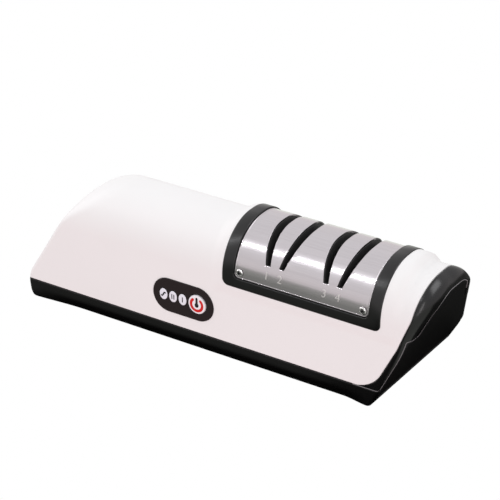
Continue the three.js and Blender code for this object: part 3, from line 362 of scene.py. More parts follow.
def points_and_faces(work):
    """What a work mesh holds; the mesh itself is let go."""
    work.verts.index_update()
    points = np.array([v.co[:] for v in work.verts])
    faces = [[v.index for v in f.verts] for f in work.faces]
    work.free()
    return points, faces


def sheet(name, rows, finish, ring=True, shut=(), **kept):
    """A piece from rows of points, each joined to the next; the rows named in shut are filled in."""
    rows = np.array(rows)
    count = rows.shape[1]
    faces = grid_faces(len(rows), count, ring).tolist()
    for row in shut:
        first = row % len(rows) * count
        faces.append(list(range(first, first + count)))
    new_piece(name, rows, faces, finish, **kept)


def sweep(rays, rows):
    """Points where each row of rays leaves the outer form.

    A row is (x, follow, turn towards +x in degrees, level).
    """
    out = []
    for x, follow, turn, level in rows:
        a = np.radians(turn)
        direction = beside(np.sin(a), np.cos(a) * rays[:, 2], np.cos(a) * rays[:, 3])
        start = beside(x, rays[:, 0], rays[:, 1])
        out.append(strike(start, direction, np.maximum(rays[:, 4], level), follow))
    return np.array(out)


def corner_turns(rays, x):
    """How far each ray turns to the left until it meets the end instead of the side."""

    def past_corner(turn):
        point = sweep(rays, [(x, 0, -turn, 0)])[0]
        return ends_distance(point[:, 0], point[:, 2]) > end_distance(point[:, 1], point[:, 2])

    return halved(len(rays), LEAST_TURN, 90.0, past_corner, 14)


def white_housing(finish):
    """The long white housing, its raised saddle and its rolled lower and right edges."""
    rays = section_rays()
    corner = corner_turns(rays, LEFT_HUB_X)
    rows = []
    for s in np.linspace(1, -1, 71):
        turn = corner + s * abs(s) * np.where(s > 0, 90 - corner, corner - LEAST_TURN)
        rows.append((LEFT_HUB_X, 0, -turn, 0))
    rows += [(x, 0, 0, 0) for x in np.arange(LEFT_HUB_X, LEAN_START_X, 2.5)]
    start, middle, end = np.linspace(0, 0.12, 14), np.linspace(0.12, 0.78, 30), np.linspace(0.78, 1, 22)
    for s in np.concatenate([start[:-1], middle[:-1], end]):
        rows.append(((1 - s) * LEAN_START_X - s * SHELL_LIP, s, 0, 0))
    rows += [(-rise, 1, 0, into) for into, rise in quarter(SHELL_LIP, 4)[1:]]
    rows.append((0.0, 1, 0, SHELL_END_DEPTH))
    points = sweep(rays, rows)
    faces = grid_faces(len(rows), len(rays))
    x, y, z = points.reshape(-1, 3)[faces].mean(1).T
    under_frame = (x > FRAME_X[0] + UNDER_FRAME_SIDE) & (x < FRAME_X[1] - UNDER_FRAME_SIDE)
    under_frame &= z > FRAME_FOOT_Z + UNDER_FRAME_FOOT
    reach = PANEL_SIZE[1] / 2
    along = np.maximum(np.abs(x - PANEL_AT[0]) - (PANEL_SIZE[0] / 2 - reach), 0)
    under_panel = (np.hypot(along, z - PANEL_AT[1]) < reach - UNDER_PANEL) & (y < SPINE_Y)
    new_piece(
        "housing_shell", points, faces[~(under_frame | under_panel)].tolist(), finish,
        stands_for=["upper_shell"], slot="white_housing",
    )


def seam_points():
    """The end face's outline in end view, clockwise, as even points with their outward directions."""
    corners = rounded(DRAWER_VIEW)
    out = [corners[0]]
    for point in np.roll(corners, -1, 0):
        gap = np.linalg.norm(point - out[-1])
        if gap > SEAM_JOIN:
            out += list(np.linspace(out[-1], point, math.ceil(gap / SEAM_STEP) + 1)[1:])
    points = np.array(out[:-1])
    return points, left_of(unit(np.roll(points, -1, 0) - np.roll(points, 1, 0)))


seam, seam_outward = seam_points()


def on_end(flat, level):
    """Points of the end view (y, z) laid on the right end, sunk by a level."""
    return strike(beside(END_START_X, *flat.T), FORWARD, level)


def end_rim(finish):
    """The thick rounded rim between the white housing and the end face."""
    above = seam[:, 1] > BAND_TOP_Z + PART_GAP
    hole, outward = seam[above], seam_outward[above]
    hub = beside(SPINE_Y, np.minimum(hole[:, 1], END_HUB_Z))
    section = beside(*hub.T, *unit(hole - hub).T, 0)
    rows = [(PART_GAP, 1, 0, LIP_DEPTH)]
    rows += [(PART_GAP + into, 1, 0, rise) for into, rise in quarter(RIM_LIP)]
    points = list(sweep(section, rows))
    start, end = points[-1], on_end(hole + outward * (SEAM_GAP / 2 + SEAM_LIP), 0.0)
    inside = beside(END_HUB_X, *hub.T)
    for t in np.linspace(0, 1, 30)[1:]:
        aim = start + (end - start) * (1 - (1 - t) ** RIM_BUNCHING)
        points.append(strike(inside, unit(aim - inside)))
    for into, rise in quarter(SEAM_LIP)[1:]:
        points.append(on_end(hole + outward * (SEAM_GAP / 2 + rise), into))
    points.append(points[-1] * (0, 1, 1) + RIM_BACK_X * FORWARD)
    sheet("end_rim", points, finish, ring=False, stands_for=["end_bezel"], slot="black_rim")


def drawer_front(finish):
    """The matt end face that pulls out with the tray."""
    edge = seam - seam_outward * SEAM_GAP / 2
    points = [on_end(edge - seam_outward * into, FACE_SUNK + rise) for into, rise in quarter(FACE_LIP)]
    points.insert(0, points[0] - FACE_DEPTH * FORWARD)
    inner = edge - seam_outward * FACE_LIP
    for share in np.linspace(1, 0, 26)[1:]:
        points.append(on_end(FACE_HUB + (inner - FACE_HUB) * share, FACE_SUNK))
    sheet("drawer_front", points, finish, body="drawer", stands_for=["swarf_drawer"], slot="black_matt")


def rim_edge_line(finish):
    """A thin grey tube along the rim's foot and up round its hole: a painted highlight on the rim's edge."""
    up = on_end(seam[seam[:, 1] > np.where(seam[:, 0] < 0, LINE_FRONT_Z, LINE_REAR_Z)], LINE_SUNK)
    foot_z = BAND_TOP_Z + PART_GAP / 2
    aims = [(x, FRONT_Y, foot_z) for x in np.arange(*LINE_FOOT_X)]
    aims = np.array(aims + [(x, y, foot_z + rise) for x, y, rise in LINE_BEND])
    start = beside(aims[:, 0] - LINE_RAY_LEAN, SPINE_Y, aims[:, 2])
    path = np.concatenate([strike(start, unit(aims - start), LINE_SUNK), up])
    way = unit(np.gradient(path, axis=0))
    side = unit(np.cross(way, path - (END_HUB_X, SPINE_Y, END_HUB_Z)))
    rise = np.cross(side, way)
    angles = np.linspace(0, 2 * math.pi, 9)
    rows = [path + LINE_RADIUS * (math.cos(a) * side + math.sin(a) * rise) for a in angles]
    sheet("end_rim_edge", rows, finish, ring=False, slot="black_rim", crease=80)


def end_turns(corner):
    """Angles round one end in plan, close together at its two corners."""
    close = np.linspace(corner - 7, corner + 7, 36)
    return np.radians(np.unique(np.concatenate([np.linspace(0, 180, 41), close, 180 - close])))


def plan_rays():
    """Rays in plan from a straight spine, as (x, direction x, direction y).

    They go along the front, round the right end, along the back and round the left end.
    """
    along = np.linspace(LEFT_HUB_X, RIGHT_HUB_X, 60)
    rays = [(x, 0.0, -1.0) for x in along]
    rays += [(RIGHT_HUB_X, math.sin(a), -math.cos(a)) for a in end_turns(RIGHT_CORNER)[1:]]
    rays += [(x, 0.0, 1.0) for x in along[-2::-1]]
    rays += [(LEFT_HUB_X, -math.sin(a), math.cos(a)) for a in end_turns(LEFT_CORNER)[1:-1]]
    return np.array(rays)


def base_band(finish):
    """The black base: an upright upper strip, an undercut below it and a closed floor."""
    rays = plan_rays()
    x, direction = rays[:, 0], beside(rays[:, 1], rays[:, 2], 0)

    def ring(z, level):
        return strike(beside(x, 0, z), direction, level, form=band_skin)

    # Where the tray comes out, the wall stops at the floor
    at_top = ring(BAND_TOP_Z, 0.0)
    mouth = (at_top[:, 1] > MOUTH_Y[0]) & (at_top[:, 1] < MOUTH_Y[1])
    mouth &= at_top[:, 0] > end_x(BAND_TOP_Z) - MOUTH_DEPTH
    top = np.where(mouth, DRAWER_FOOT_Z - PART_GAP, BAND_TOP_Z)
    low = FOOT_Z + BAND_FOOT_RADIUS
    rings = [ring(top, BAND_LIP_DEPTH)]
    rings += [ring(top - into, rise) for into, rise in quarter(BAND_LIP)]
    rings += [ring(low + (top - BAND_LIP - low) * share, 0.0) for share in np.linspace(1, 0, 14)[1:]]
    rings += [ring(FOOT_Z + rise, into) for into, rise in quarter(BAND_FOOT_RADIUS)[1:]]
    outer, inner = rings[-1], beside(x, 0, FOOT_Z)
    rings += [inner + (outer - inner) * share for share in np.linspace(1, 0, 12)[1:]]
    sheet("base_band", rings, finish, stands_for=["base_shell"], slot="black_base")


def corner_arcs(x0, x1, y0, y1, left_radius, right_radius):
    """The round corners of a rectangle: lower right, upper right, upper left and lower left."""
    arcs = []
    for x, y, r, first in (
        (x1 - right_radius, y0 + right_radius, right_radius, -90),
        (x1 - right_radius, y1 - right_radius, right_radius, 0),
        (x0 + left_radius, y1 - left_radius, left_radius, 90),
        (x0 + left_radius, y0 + left_radius, left_radius, 180),
    ):
        a = np.radians(np.linspace(first, first + 90, 9))
        arcs.append(beside(x + r * np.cos(a), y + r * np.sin(a)))
    return np.array(arcs)


def open_tray(finish):
    """The tray behind the end face, with a rounded rim and floor."""
    foot, top, floor = DRAWER_FOOT_Z, TRAY_TOP_Z, DRAWER_FOOT_Z + TRAY_WALL

    def ring(inset, z):
        sides = (TRAY_X + inset, end_x(z) - TRAY_END_GAP, TRAY_Y[0] + inset, TRAY_Y[1] - inset)
        flat = corner_arcs(*sides, max(TRAY_CORNER - inset, TRAY_SHARP), TRAY_SHARP).reshape(-1, 2)
        return beside(*flat.T, z)

    rows = [ring(TRAY_MIDDLE, foot), ring(TRAY_SOLE, foot)]
    rows += [ring(rise, foot + into) for into, rise in quarter(TRAY_SOLE)[1:]]
    rows += [ring(0.0, z) for z in np.linspace(foot + 2, top - TRAY_RIM, 6)]
    rows += [ring(into, top - rise) for into, rise in quarter(TRAY_RIM)[1:]]
    rows += [ring(TRAY_WALL - rise, top - into) for into, rise in quarter(TRAY_RIM)]
    rows += [ring(TRAY_WALL, z) for z in np.linspace(top - 2, foot + 3, 5)]
    rows += [ring(TRAY_WALL + into, floor + rise) for into, rise in quarter(TRAY_FILLET)[1:]]
    rows.append(ring(TRAY_MIDDLE, floor))
    sheet("drawer_tray", rows, finish, body="drawer", slot="black_matt")


# The arch that the frame, the plate and the slot throats follow, by length along it from its front foot
arch = rounded(SADDLE_VIEW)
arch = arch[np.concatenate([[True], np.linalg.norm(np.diff(arch, axis=0), axis=1) > 1e-6])]
arch_run = np.concatenate([[0], np.cumsum(np.linalg.norm(np.diff(arch, axis=0), axis=1))])
arch_way = unit(np.gradient(arch, arch_run, axis=0))
arch_crown = int(np.argmax(arch[:, 1]))


def run_at(z, rear=False):
    """Length along the arch where it passes a height, at the front or at the rear."""
    if rear:
        return float(np.interp(-z, -arch[arch_crown:, 1], arch_run[arch_crown:]))
    return float(np.interp(z, arch[: arch_crown + 1, 1], arch_run[: arch_crown + 1]))


def both_runs(z):
    """Lengths along the arch where it passes a height, front and rear."""
    return run_at(z), run_at(z, rear=True)


frame_box = (*FRAME_X, *both_runs(FRAME_FOOT_Z))
plate_box = (*PLATE_X, *both_runs(PLATE_FOOT_Z))
slot_run = both_runs(SLOT_FOOT_Z)


def on_arch(flat):
    """Flat points (x, length along the arch, height above it) laid on the arch."""
    flat = np.asarray(flat, float).reshape(-1, 3)
    y, z, wy, wz = (np.interp(flat[:, 1], arch_run, c) for c in (*arch.T, *arch_way.T))
    size = np.hypot(wy, wz)
    return beside(flat[:, 0], y - wz / size * flat[:, 2], z + wy / size * flat[:, 2])


def flat_loop(x0, x1, l0, l1, corner, inset, height):
    """A closed loop round a rectangle with round corners, in the arch's flat coordinates."""
    r = max(corner - inset, LEAST_CORNER)
    arcs = corner_arcs(x0 + inset, x1 - inset, l0 + inset, l1 - inset, r, r)
    loop = []
    for arc, following, steps in zip(arcs, np.roll(arcs, -1, 0), LOOP_STEPS):
        loop += [arc, np.linspace(arc[-1], following[0], steps + 1)[1:-1]]
    return beside(*np.concatenate(loop).T, height)


def plate_frame(finish):
    """The satin black frame, arched over the housing: outer wall, rounded top, inner wall."""
    x0, x1, l0, l1 = plate_box
    outer = (*frame_box, FRAME_CORNER)
    inner = (x0 - PLATE_PLAY, x1 + PLATE_PLAY, l0 - PLATE_PLAY, l1 + PLATE_PLAY, PLATE_CORNER + PLATE_PLAY)
    rows = [(outer, 0.0, -FRAME_THICK)]
    rows += [(outer, into, -rise) for into, rise in quarter(FRAME_EDGE, 4)]
    rows += [(inner, -into, -rise) for into, rise in reversed(quarter(OPENING_EDGE))]
    rows.append((inner, 0.0, -OPENING_DEPTH))
    rows = [on_arch(flat_loop(*box, inset, height)) for box, inset, height in rows]
    sheet("plate_frame_arched", rows, finish, stands_for=["plate_frame"], slot="black_frame")


def slot_edges(z):
    """Left and right edges of the four slots at a height."""
    rise = np.maximum(z - SLOT_FOOT_Z, 0)
    half = (SLOT_WIDTHS[0] + (SLOT_WIDTHS[1] - SLOT_WIDTHS[0]) * rise / (TOP_Z - SLOT_FOOT_Z)) / 2
    centres = [pair + side * (SLOT_HALF_GAP + SLOT_LEAN * rise) for pair in SLOT_PAIRS for side in (-1, 1)]
    return [(centre - half, centre + half) for centre in centres]


def steel_plate(finish):
    """The brushed plate: flat first, with its slots and edges, then laid on the arch."""
    (l0, l1), (s0, s1), r = plate_box[2:], slot_run, PLATE_CORNER
    turn = r * (1 - np.cos(np.radians(np.linspace(0, 90, 7))))
    lows = np.concatenate([l0 + turn, np.linspace(l0 + r, s0, 9)[1:-1]])
    rows = np.concatenate([lows, np.linspace(s0, s1, 96), np.linspace(s1, l1 - r, 9)[1:-1], l1 - turn[::-1]])
    short = np.clip(r - np.minimum(rows - l0, l1 - rows), 0, r)
    corner_in = r - np.sqrt(r * r - short**2)
    edges = slot_edges(np.interp(rows, arch_run, arch[:, 1]))
    bars = [PLATE_X[0] + corner_in, *(edge for pair in edges for edge in pair), PLATE_X[1] - corner_in]
    columns, solid = [], []
    for k, steps in enumerate(PLATE_STEPS):
        columns += [bars[k] + (bars[k + 1] - bars[k]) * t for t in np.linspace(0, 1, steps + 1)[:-1]]
        solid += [k % 2 == 0] * steps
    x = np.array([*columns, bars[-1]]).T
    points = beside(x, rows[:, None], 0)
    in_slots = (rows[:-1] >= s0 - 1e-6) & (rows[1:] <= s1 + 1e-6)
    kept = np.array(solid) | ~in_slots[:, None]
    work = bmesh.new()
    verts = [work.verts.new(v) for v in points.reshape(-1, 3)]
    for face in grid_faces(*x.shape)[kept.ravel()]:
        work.faces.new([verts[i] for i in face])
    drop_loose(work)
    bmesh.ops.remove_doubles(work, verts=work.verts, dist=1e-4)
    thicken(work, -PLATE_THICK)
    bmesh.ops.recalc_face_normals(work, faces=work.faces)
    sharp = [e for e in work.edges if len(e.link_faces) == 2 and e.calc_face_angle() > SHARP_EDGE]
    rim = [e for e in sharp if all(v.co.z > -0.01 for v in e.verts)]
    bmesh.ops.bevel(work, geom=rim, offset=PLATE_BEVEL, segments=3, affect="EDGES", profile=0.5)
    flat, faces = points_and_faces(work)
    new_piece(
        "steel_plate_brushed", on_arch(flat - (0, 0, PLATE_SET)), faces, finish,
        stands_for=["steel_plate"], slot="plate_steel", crease=15,
    )
    bead = [
        on_arch(flat_loop(*plate_box, PLATE_CORNER, 0.42 - 0.3 * math.cos(a), 0.16 * math.sin(a) - PLATE_SET))
        for a in np.radians(np.linspace(0, 180, 9))
    ]
    sheet("plate_edge_bead", bead, finish, slot="plate_steel", crease=80)


def slot_throats(finish):
    """Black guide walls that line each slot and lean towards the wheels."""
    runs = np.linspace(*slot_run, 90)
    heights = np.interp(runs, arch_run, arch[:, 1])
    for number, (left, right) in enumerate(slot_edges(heights)):
        middle, half = (left + right) / 2, (right - left) / 2
        rows = []
        for grow, drop in THROAT_STEPS:
            ends = runs.copy()
            ends[[0, -1]] += (-grow, grow)
            near, far = (beside(middle + side * (half + grow), ends, -drop) for side in (-1, 1))
            rows.append(on_arch(np.concatenate([near, far[::-1]])))
        sheet(f"slot_throat_{number + 1}", rows, finish, stands_for=["slot_guide"], slot="black_matt")


def turned_rows(profile, x, z, sides):
    """Points round an axis along Y from (y, radius) steps, where a radius may be a function of the angle."""
    angles = np.linspace(0, 2 * math.pi, sides, endpoint=False)
    rows = []
    for y, r in profile:
        reach = r(angles) if callable(r) else r
        rows.append(beside(x + reach * np.cos(angles), y, z + reach * np.sin(angles)))
    return rows


def turned(name, profile, x, z, finish, sides=64, **kept):
    """A turned piece, shut at both ends."""
    sheet(name, turned_rows(profile, x, z, sides), finish, shut=(0, -1), **kept)


def cross_shape(reach, half_width):
    """The radius of an upright cross at each angle."""

    def radius(angles):
        c, s = np.abs(np.cos(angles)) + 1e-9, np.abs(np.sin(angles)) + 1e-9
        return np.maximum(np.minimum(reach / c, half_width / s), np.minimum(reach / s, half_width / c))

    return radius


def plate_screws(finish, recess_finish):
    """Two cross-head screws at the plate's lower corners, each with a near-black inlay in its cross recess as
    painted shade.
    """
    z, face = PLATE_FOOT_Z + SCREW_INSET, SCREW_FACE_Y
    head = [(-39.4, 1.0), (-40.75, 1.0), (-40.75, 2.0), (-41.0, 2.0), (-41.3, 1.85), (-41.45, 1.6)]
    head.append((face, 1.45))
    for deep, *size in ((0, 1.3, 0.42), (0.06, 1.26, 0.38), (0.8, 0.9, 0.3)):
        head.append((face + deep, cross_shape(*size)))
    # The near-black inlay down in each cross recess is painted shade
    recess = [(face + 0.7, cross_shape(0.95, 0.32)), (face + 0.22, cross_shape(1.16, 0.34))]
    kept = {"sides": 96, "slot": "screw_steel", "crease": 35}
    for number, x in enumerate((PLATE_X[0] + SCREW_INSET, PLATE_X[1] - SCREW_INSET), 1):
        turned(f"plate_screw_head_{number}", head, x, z, finish, stands_for=[f"plate_screw_{number}"], **kept)
        turned(f"plate_screw_recess_{number}", recess, x, z, recess_finish, **kept)


def panel_edge(inset):
    """How far the panel's oval edge lies from the button's middle, for each angle."""
    straight = (PANEL_SIZE[0] - PANEL_SIZE[1]) / 2

    def reach(angles):
        def outside(run):
            along = np.abs(BUTTON_X + run * np.cos(angles) - PANEL_AT[0])
            return np.hypot(np.maximum(along - straight, 0), run * np.sin(angles)) > PANEL_SIZE[1] / 2 - inset

        return halved(len(angles), 0.0, PANEL_SIZE[0], outside, 30)

    return reach


def control_panel(finish):
    """The dark oval panel, with a bore for the button."""
    bore = BUTTON_RADIUS + BORE_PLAY
    y = PANEL_FACE_Y
    rows = [(PANEL_BACK_Y, panel_edge(0))]
    rows += [(y + rise, panel_edge(into)) for into, rise in quarter(PANEL_EDGE)]
    rows += [(y, panel_edge(1.2)), (y, bore + 0.6)]
    rows += [(y + rise, bore + into) for into, rise in reversed(quarter(BORE_EDGE, 2))]
    rows.append((y + BORE_DEPTH, bore))
    sheet(
        "panel_oval", turned_rows(rows, BUTTON_X, PANEL_AT[1], 160), finish,
        stands_for=["control_panel"], slot="panel_plastic", crease=50,
    )


def power_button(finish):
    """The round cap, a little dished in the middle."""
    y, r = BUTTON_FACE_Y, BUTTON_RADIUS
    profile = [(y + BUTTON_DEPTH, 0.4), (y + BUTTON_DEPTH, r)]
    profile += [(y + rise, r - into) for into, rise in quarter(BUTTON_EDGE)]
    profile += [(y, r - 1.2), (y + 0.02, 1.6), (y + 0.02, 0.4)]
    turned(
        "power_button_cap", profile, BUTTON_X, PANEL_AT[1], finish,
        stands_for=["power_button"], slot="button_white", body="button",
    )


def inlay(name, loops, finish, **kept):
    """A thin mark laid on a face: closed loops of (x, z), from its edge inwards, each at its own Y."""
    rows = [beside(loop[:, 0], y, loop[:, 1]) for loop, y in loops]
    sheet(name, rows, finish, shut=(-1,), crease=60, **kept)


def band_loop(path, half_width):
    """A closed outline round an open path, with round ends."""
    way = unit(np.gradient(path, axis=0))
    half = np.broadcast_to(half_width, len(path))[:, None]
    side = left_of(way) * half

    def cap(end, out):
        angles = math.atan2(*out[::-1]) + np.radians([60, 30, 0, -30, -60])
        return path[end] + half[end] * beside(np.cos(angles), np.sin(angles))

    return np.concatenate([path + side, cap(-1, way[-1]), (path - side)[::-1], cap(0, -way[0])])


def mark(name, path, half_width, y, finish, body="housing", thick=SIGN_THICK):
    """A raised or printed stroke: its outline, a soft edge and a flat top."""
    edge = thick / 2
    outline, top = band_loop(path, half_width), band_loop(path, half_width - edge)
    inlay(name, [(outline, y + 0.1), (outline, y - thick + edge), (top, y - thick)], finish, body=body)


def panel_marks(white, dark, red):
    """The three small windows with their signs, and the button's ring and bar."""
    y, zc = PANEL_FACE_Y, PANEL_AT[1]
    angles = np.linspace(0, 2 * math.pi, 48, endpoint=False)
    oval = beside(np.cos(angles), np.sin(angles))
    for number, x in enumerate(WINDOW_XS, 1):
        loops = [(oval * [wide, high] + [x, zc], y + off) for wide, high, off in LENS_STEPS]
        inlay(
            f"window_lens_{number}", loops, white, slot="window_clear", stands_for=[f"mode_window_{number}"],
        )
    top = y - SIGN_OFF
    t = np.linspace(-1, 1, 25)
    wave = beside(WINDOW_XS[0] + 1.25 * t, zc + 0.75 * np.sin(t * 2.6) + 0.35 * t)
    mark("mode_sign_wave", wave, 0.3 + 0.12 * np.cos(t * 1.5), top, dark)
    bar = beside(0, np.linspace(-BAR_HALF, BAR_HALF, 7))
    for name, window, off in (("two_left", 1, -0.55), ("two_right", 1, 0.6), ("one", 2, 0.05)):
        mark(f"mode_sign_{name}", bar + [WINDOW_XS[window] + off, zc], BAR_HALF_WIDTH, top, dark)
    turn = np.radians(np.linspace(*RING_ENDS, 64))
    arc = beside(BUTTON_X + RING_RADIUS * np.cos(turn), zc + RING_RADIUS * np.sin(turn))
    mark("power_ring", arc, RING_HALF_WIDTH, BUTTON_FACE_Y, red, "button", RING_THICK)
    stem = beside(BUTTON_X, zc + np.linspace(RING_RADIUS, STEM_FOOT, 28))
    blob = 0.62 + 0.48 * ease(np.linspace(0, 1, 28), 0.66, 0.86)
    mark("power_bar", stem, blob, BUTTON_FACE_Y, dark, "button", RING_THICK)


def numeral(text, x, run, finish):
    """A numeral under a slot, laid on the plate."""
    curve = bpy.data.curves.new(f"numeral_{text}", "FONT")
    curve.body = text
    curve.size = NUMERAL_SIZE
    curve.align_x = "CENTER"
    curve.resolution_u = 6
    curve.offset = NUMERAL_THIN
    source = bpy.data.objects.new(f"numeral_{text}_curve", curve)
    bpy.context.scene.collection.objects.link(source)
    shape = bpy.data.meshes.new_from_object(source.evaluated_get(bpy.context.evaluated_depsgraph_get()))
    bpy.data.objects.remove(source)
    work = bmesh.new()
    work.from_mesh(shape)
    bmesh.ops.subdivide_edges(work, edges=work.edges, cuts=1)
    thicken(work, 1)
    flat, faces = points_and_faces(work)
    flat[:, 2] = np.where(flat[:, 2] > 0.5, NUMERAL_PROUD, -NUMERAL_DEPTH) - PLATE_SET
    new_piece(f"plate_numeral_{text}", on_arch(flat + (x, run, 0)), faces, finish, crease=30)


class Nodes:
    """Short ways to place and join nodes in one tree."""

    def __init__(self, tree):
        self.tree = tree

    def add(self, kind, *values, **settings):
        """A node with its settings; its first inputs take the values or are joined to them."""
        node = self.tree.nodes.new(kind)
        for key, value in settings.items():
            setattr(node, key, value)
        for value, socket in zip(values, node.inputs):
            self.put(value, socket)
        return node

    def put(self, value, socket):
        if isinstance(value, bpy.types.NodeSocket):
            self.tree.links.new(value, socket)
        elif value is not None:
            socket.default_value = value

    def noise(self, vector, scale, detail=3.0, rough=0.55):
        return self.add("ShaderNodeTexNoise", vector, None, scale, detail, rough).outputs["Fac"]

    def stretched(self, vector, scale):
        return self.add("ShaderNodeMapping", vector, None, None, scale).outputs["Vector"]

    def calc(self, operation, *values, clamp=False):
        return self.add("ShaderNodeMath", *values, operation=operation, use_clamp=clamp).outputs[0]

    def swing(self, value, strength):
        """A value about one half, made to swing about nought by a strength."""
        return self.calc("MULTIPLY", self.calc("SUBTRACT", value, 0.5), strength)

    def toned(self, colour, change):
        """A colour made lighter or darker by a share of itself."""
        share = self.calc("ADD", 1.0, change)
        return self.add("ShaderNodeVectorMath", colour, None, None, share, operation="SCALE").outputs[0]

    def remap(self, value, *spans):
        """A value moved from one span (two numbers) to another (two more)."""
        return self.add("ShaderNodeMapRange", value, *spans).outputs[0]

    def split(self, vector):
        return self.add("ShaderNodeSeparateXYZ", vector).outputs

    def blend(self, share, first, second):
        """One shader mixed into another."""
        return self.add("ShaderNodeMixShader", share, first.outputs[0], second.outputs[0])


# Node groups: one effect each, used by several materials. Scales are per metre.
PER_MM = 1000.0
FLOW_SCALE, HANDLED_SCALE, CLOUD_SCALE = 22.0, 55.0, 60.0
FINE_LINES, BROAD_LINES = (14.0, 2600.0, 2600.0), (5.0, 420.0, 420.0)
FINE_SHARE, BROAD_SHARE = 0.65, 0.35


def effect(name, inputs, build):
    """A shader node group with named sockets, built once."""
    tree = bpy.data.node_groups.new(name, "ShaderNodeTree")
    for label, kind, value in [("Vector", "Vector", None), ("Colour", "Color", None), *inputs]:
        socket = tree.interface.new_socket(label, in_out="INPUT", socket_type=f"NodeSocket{kind}")
        if value is not None:
            socket.default_value = value
    for label, kind in (("Colour", "Color"), ("Roughness", "Float"), ("Height", "Float")):
        tree.interface.new_socket(label, in_out="OUTPUT", socket_type=f"NodeSocket{kind}")
    nodes = Nodes(tree)
    source, sink = nodes.add("NodeGroupInput"), nodes.add("NodeGroupOutput")
    for label, value in build(nodes, source.outputs).items():
        nodes.put(value, sink.inputs[label])
    return tree


def moulded_skin(n, given):
    """Moulded plastic: fine spark grain, faint flow mottling and handled patches."""
    where = given["Vector"]
    grain = n.noise(where, n.calc("MULTIPLY", given["Grain per mm"], PER_MM), 2.0)
    flow = n.noise(where, FLOW_SCALE)
    handled = n.noise(where, HANDLED_SCALE, 4.0, 0.65)
    uneven = n.swing(handled, given["Unevenness"])
    specks = n.swing(grain, n.calc("MULTIPLY", given["Unevenness"], 0.4))
    return {
        "Colour": n.toned(given["Colour"], n.swing(flow, given["Mottling"])),
        "Roughness": n.calc("ADD", given["Roughness"], n.calc("ADD", uneven, specks), clamp=True),
        "Height": grain,
    }


def brushed_lines(n, given):
    """Metal brushed along X: fine streaks in tone, roughness and height."""
    where = given["Vector"]
    fine = n.noise(n.stretched(where, FINE_LINES), 1.0, 3.0, 0.6)
    broad = n.noise(n.stretched(where, BROAD_LINES), 1.0, 2.0)
    streak = n.calc("ADD", n.calc("MULTIPLY", fine, FINE_SHARE), n.calc("MULTIPLY", broad, BROAD_SHARE))
    off = n.swing(streak, given["Strength"])
    patch = n.swing(n.noise(where, CLOUD_SCALE, 2.0), 0.08)
    rough = n.calc("ADD", given["Roughness"], n.calc("MULTIPLY", off, 0.5))
    return {
        "Colour": n.toned(given["Colour"], off),
        "Roughness": n.calc("ADD", rough, patch, clamp=True),
        "Height": fine,
    }


SKIN = effect(
    "moulded_skin",
    [("Roughness", "Float", 0.4), ("Grain per mm", "Float", 5.0), ("Mottling", "Float", 0.04),
     ("Unevenness", "Float", 0.1)],
    moulded_skin,
)
BRUSHED = effect("brushed_lines", [("Roughness", "Float", 0.3), ("Strength", "Float", 0.3)], brushed_lines)


cad_finishes = {}


def material(group, name, colour, roughness, slots="", bump=0.05, depth=0.0001, **values):
    """A material: one Principled shader whose colour, roughness and height come from a group.

    The CAD's own nodes in the named slots wear it too. Other values go to the group or else to the shader.
    """
    made = bpy.data.materials.new(name)
    made.use_nodes = True
    n = Nodes(made.node_tree)
    shader = made.node_tree.nodes["Principled BSDF"].inputs
    node = n.add("ShaderNodeGroup", node_tree=group)
    n.put(n.add("ShaderNodeTexCoord").outputs["Object"], node.inputs["Vector"])
    node.inputs["Colour"].default_value = (*colour, 1)
    node.inputs["Roughness"].default_value = roughness
    for key, value in values.items():
        label = key.replace("_", " ")
        (node.inputs if label in node.inputs else shader)[label].default_value = value
    n.put(node.outputs["Colour"], shader["Base Color"])
    n.put(node.outputs["Roughness"], shader["Roughness"])
    height = n.add("ShaderNodeBump")
    height.inputs["Strength"].default_value = bump
    height.inputs["Distance"].default_value = depth
    n.put(node.outputs["Height"], height.inputs["Height"])
    n.put(height.outputs["Normal"], shader["Normal"])
    cad_finishes.update({slot: made for slot in slots.split()})
    return made


def plastic(*looks, specular=0.5, **values):
    """A moulded plastic or rubber."""
    return material(SKIN, *looks, Specular_IOR_Level=specular, **values)


def metal(*looks, **values):
    """A brushed metal."""
    return material(BRUSHED, *looks, Metallic=1.0, **values)


white_plastic = plastic("white_housing_gloss", (0.805, 0.805, 0.8), 0.5, "white_housing", specular=0.35)
base_plastic = plastic("black_base_satin", (0.002, 0.002, 0.0021), 0.34, "black_base", specular=0.4)
rim_plastic = plastic("black_rim_gloss", (0.003, 0.003, 0.0032), 0.24, "black_rim")
matt_plastic = plastic(
    "black_matt_grain", (0.003, 0.003, 0.0031), 0.5, "black_matt switch_black", specular=0.3, bump=0.15,
)
# Painted highlight: a mid grey for the thin tube on the rim's edge, standing in for light caught by that edge
rim_highlight_paint = plastic("rim_edge_painted_highlight", (0.2, 0.2, 0.205), 0.35)
frame_plastic = plastic(
    "black_frame_satin", (0.002, 0.0023, 0.0022), 0.3, "black_frame", specular=0.55, bump=0.08,
)
throat_plastic = plastic("black_throat", (0.02, 0.02, 0.02), 0.4)
panel_plastic = plastic("panel_brown_black", (0.018, 0.012, 0.0125), 0.4, "panel_plastic", specular=0.25)
button_plastic = plastic("button_white", (0.84, 0.83, 0.86), 0.3, "button_white")
lens_plastic = plastic("window_milky", (0.78, 0.8, 0.86), 0.25, "window_clear", Coat_Weight=0.4)
sign_dark = plastic("sign_ink", (0.012, 0.011, 0.012), 0.4)
ring_red = plastic("ring_red_ink", (0.6, 0.006, 0.006), 0.4, specular=0.3)
plate_metal = metal("plate_brushed_steel", (0.64, 0.61, 0.63), 0.2, "plate_steel", bump=0.1, depth=0.00002)
screw_metal = metal("screw_bright_steel", (0.78, 0.77, 0.76), 0.2, "screw_steel", bump=0.1, depth=0.00002)
# Painted shade: a near-black steel for the inside of the screws' cross recesses
screw_recess_shade = metal("screw_recess_dark", (0.02, 0.02, 0.022), 0.5)
etched_metal = metal("numeral_etched", (0.86, 0.83, 0.82), 0.5)
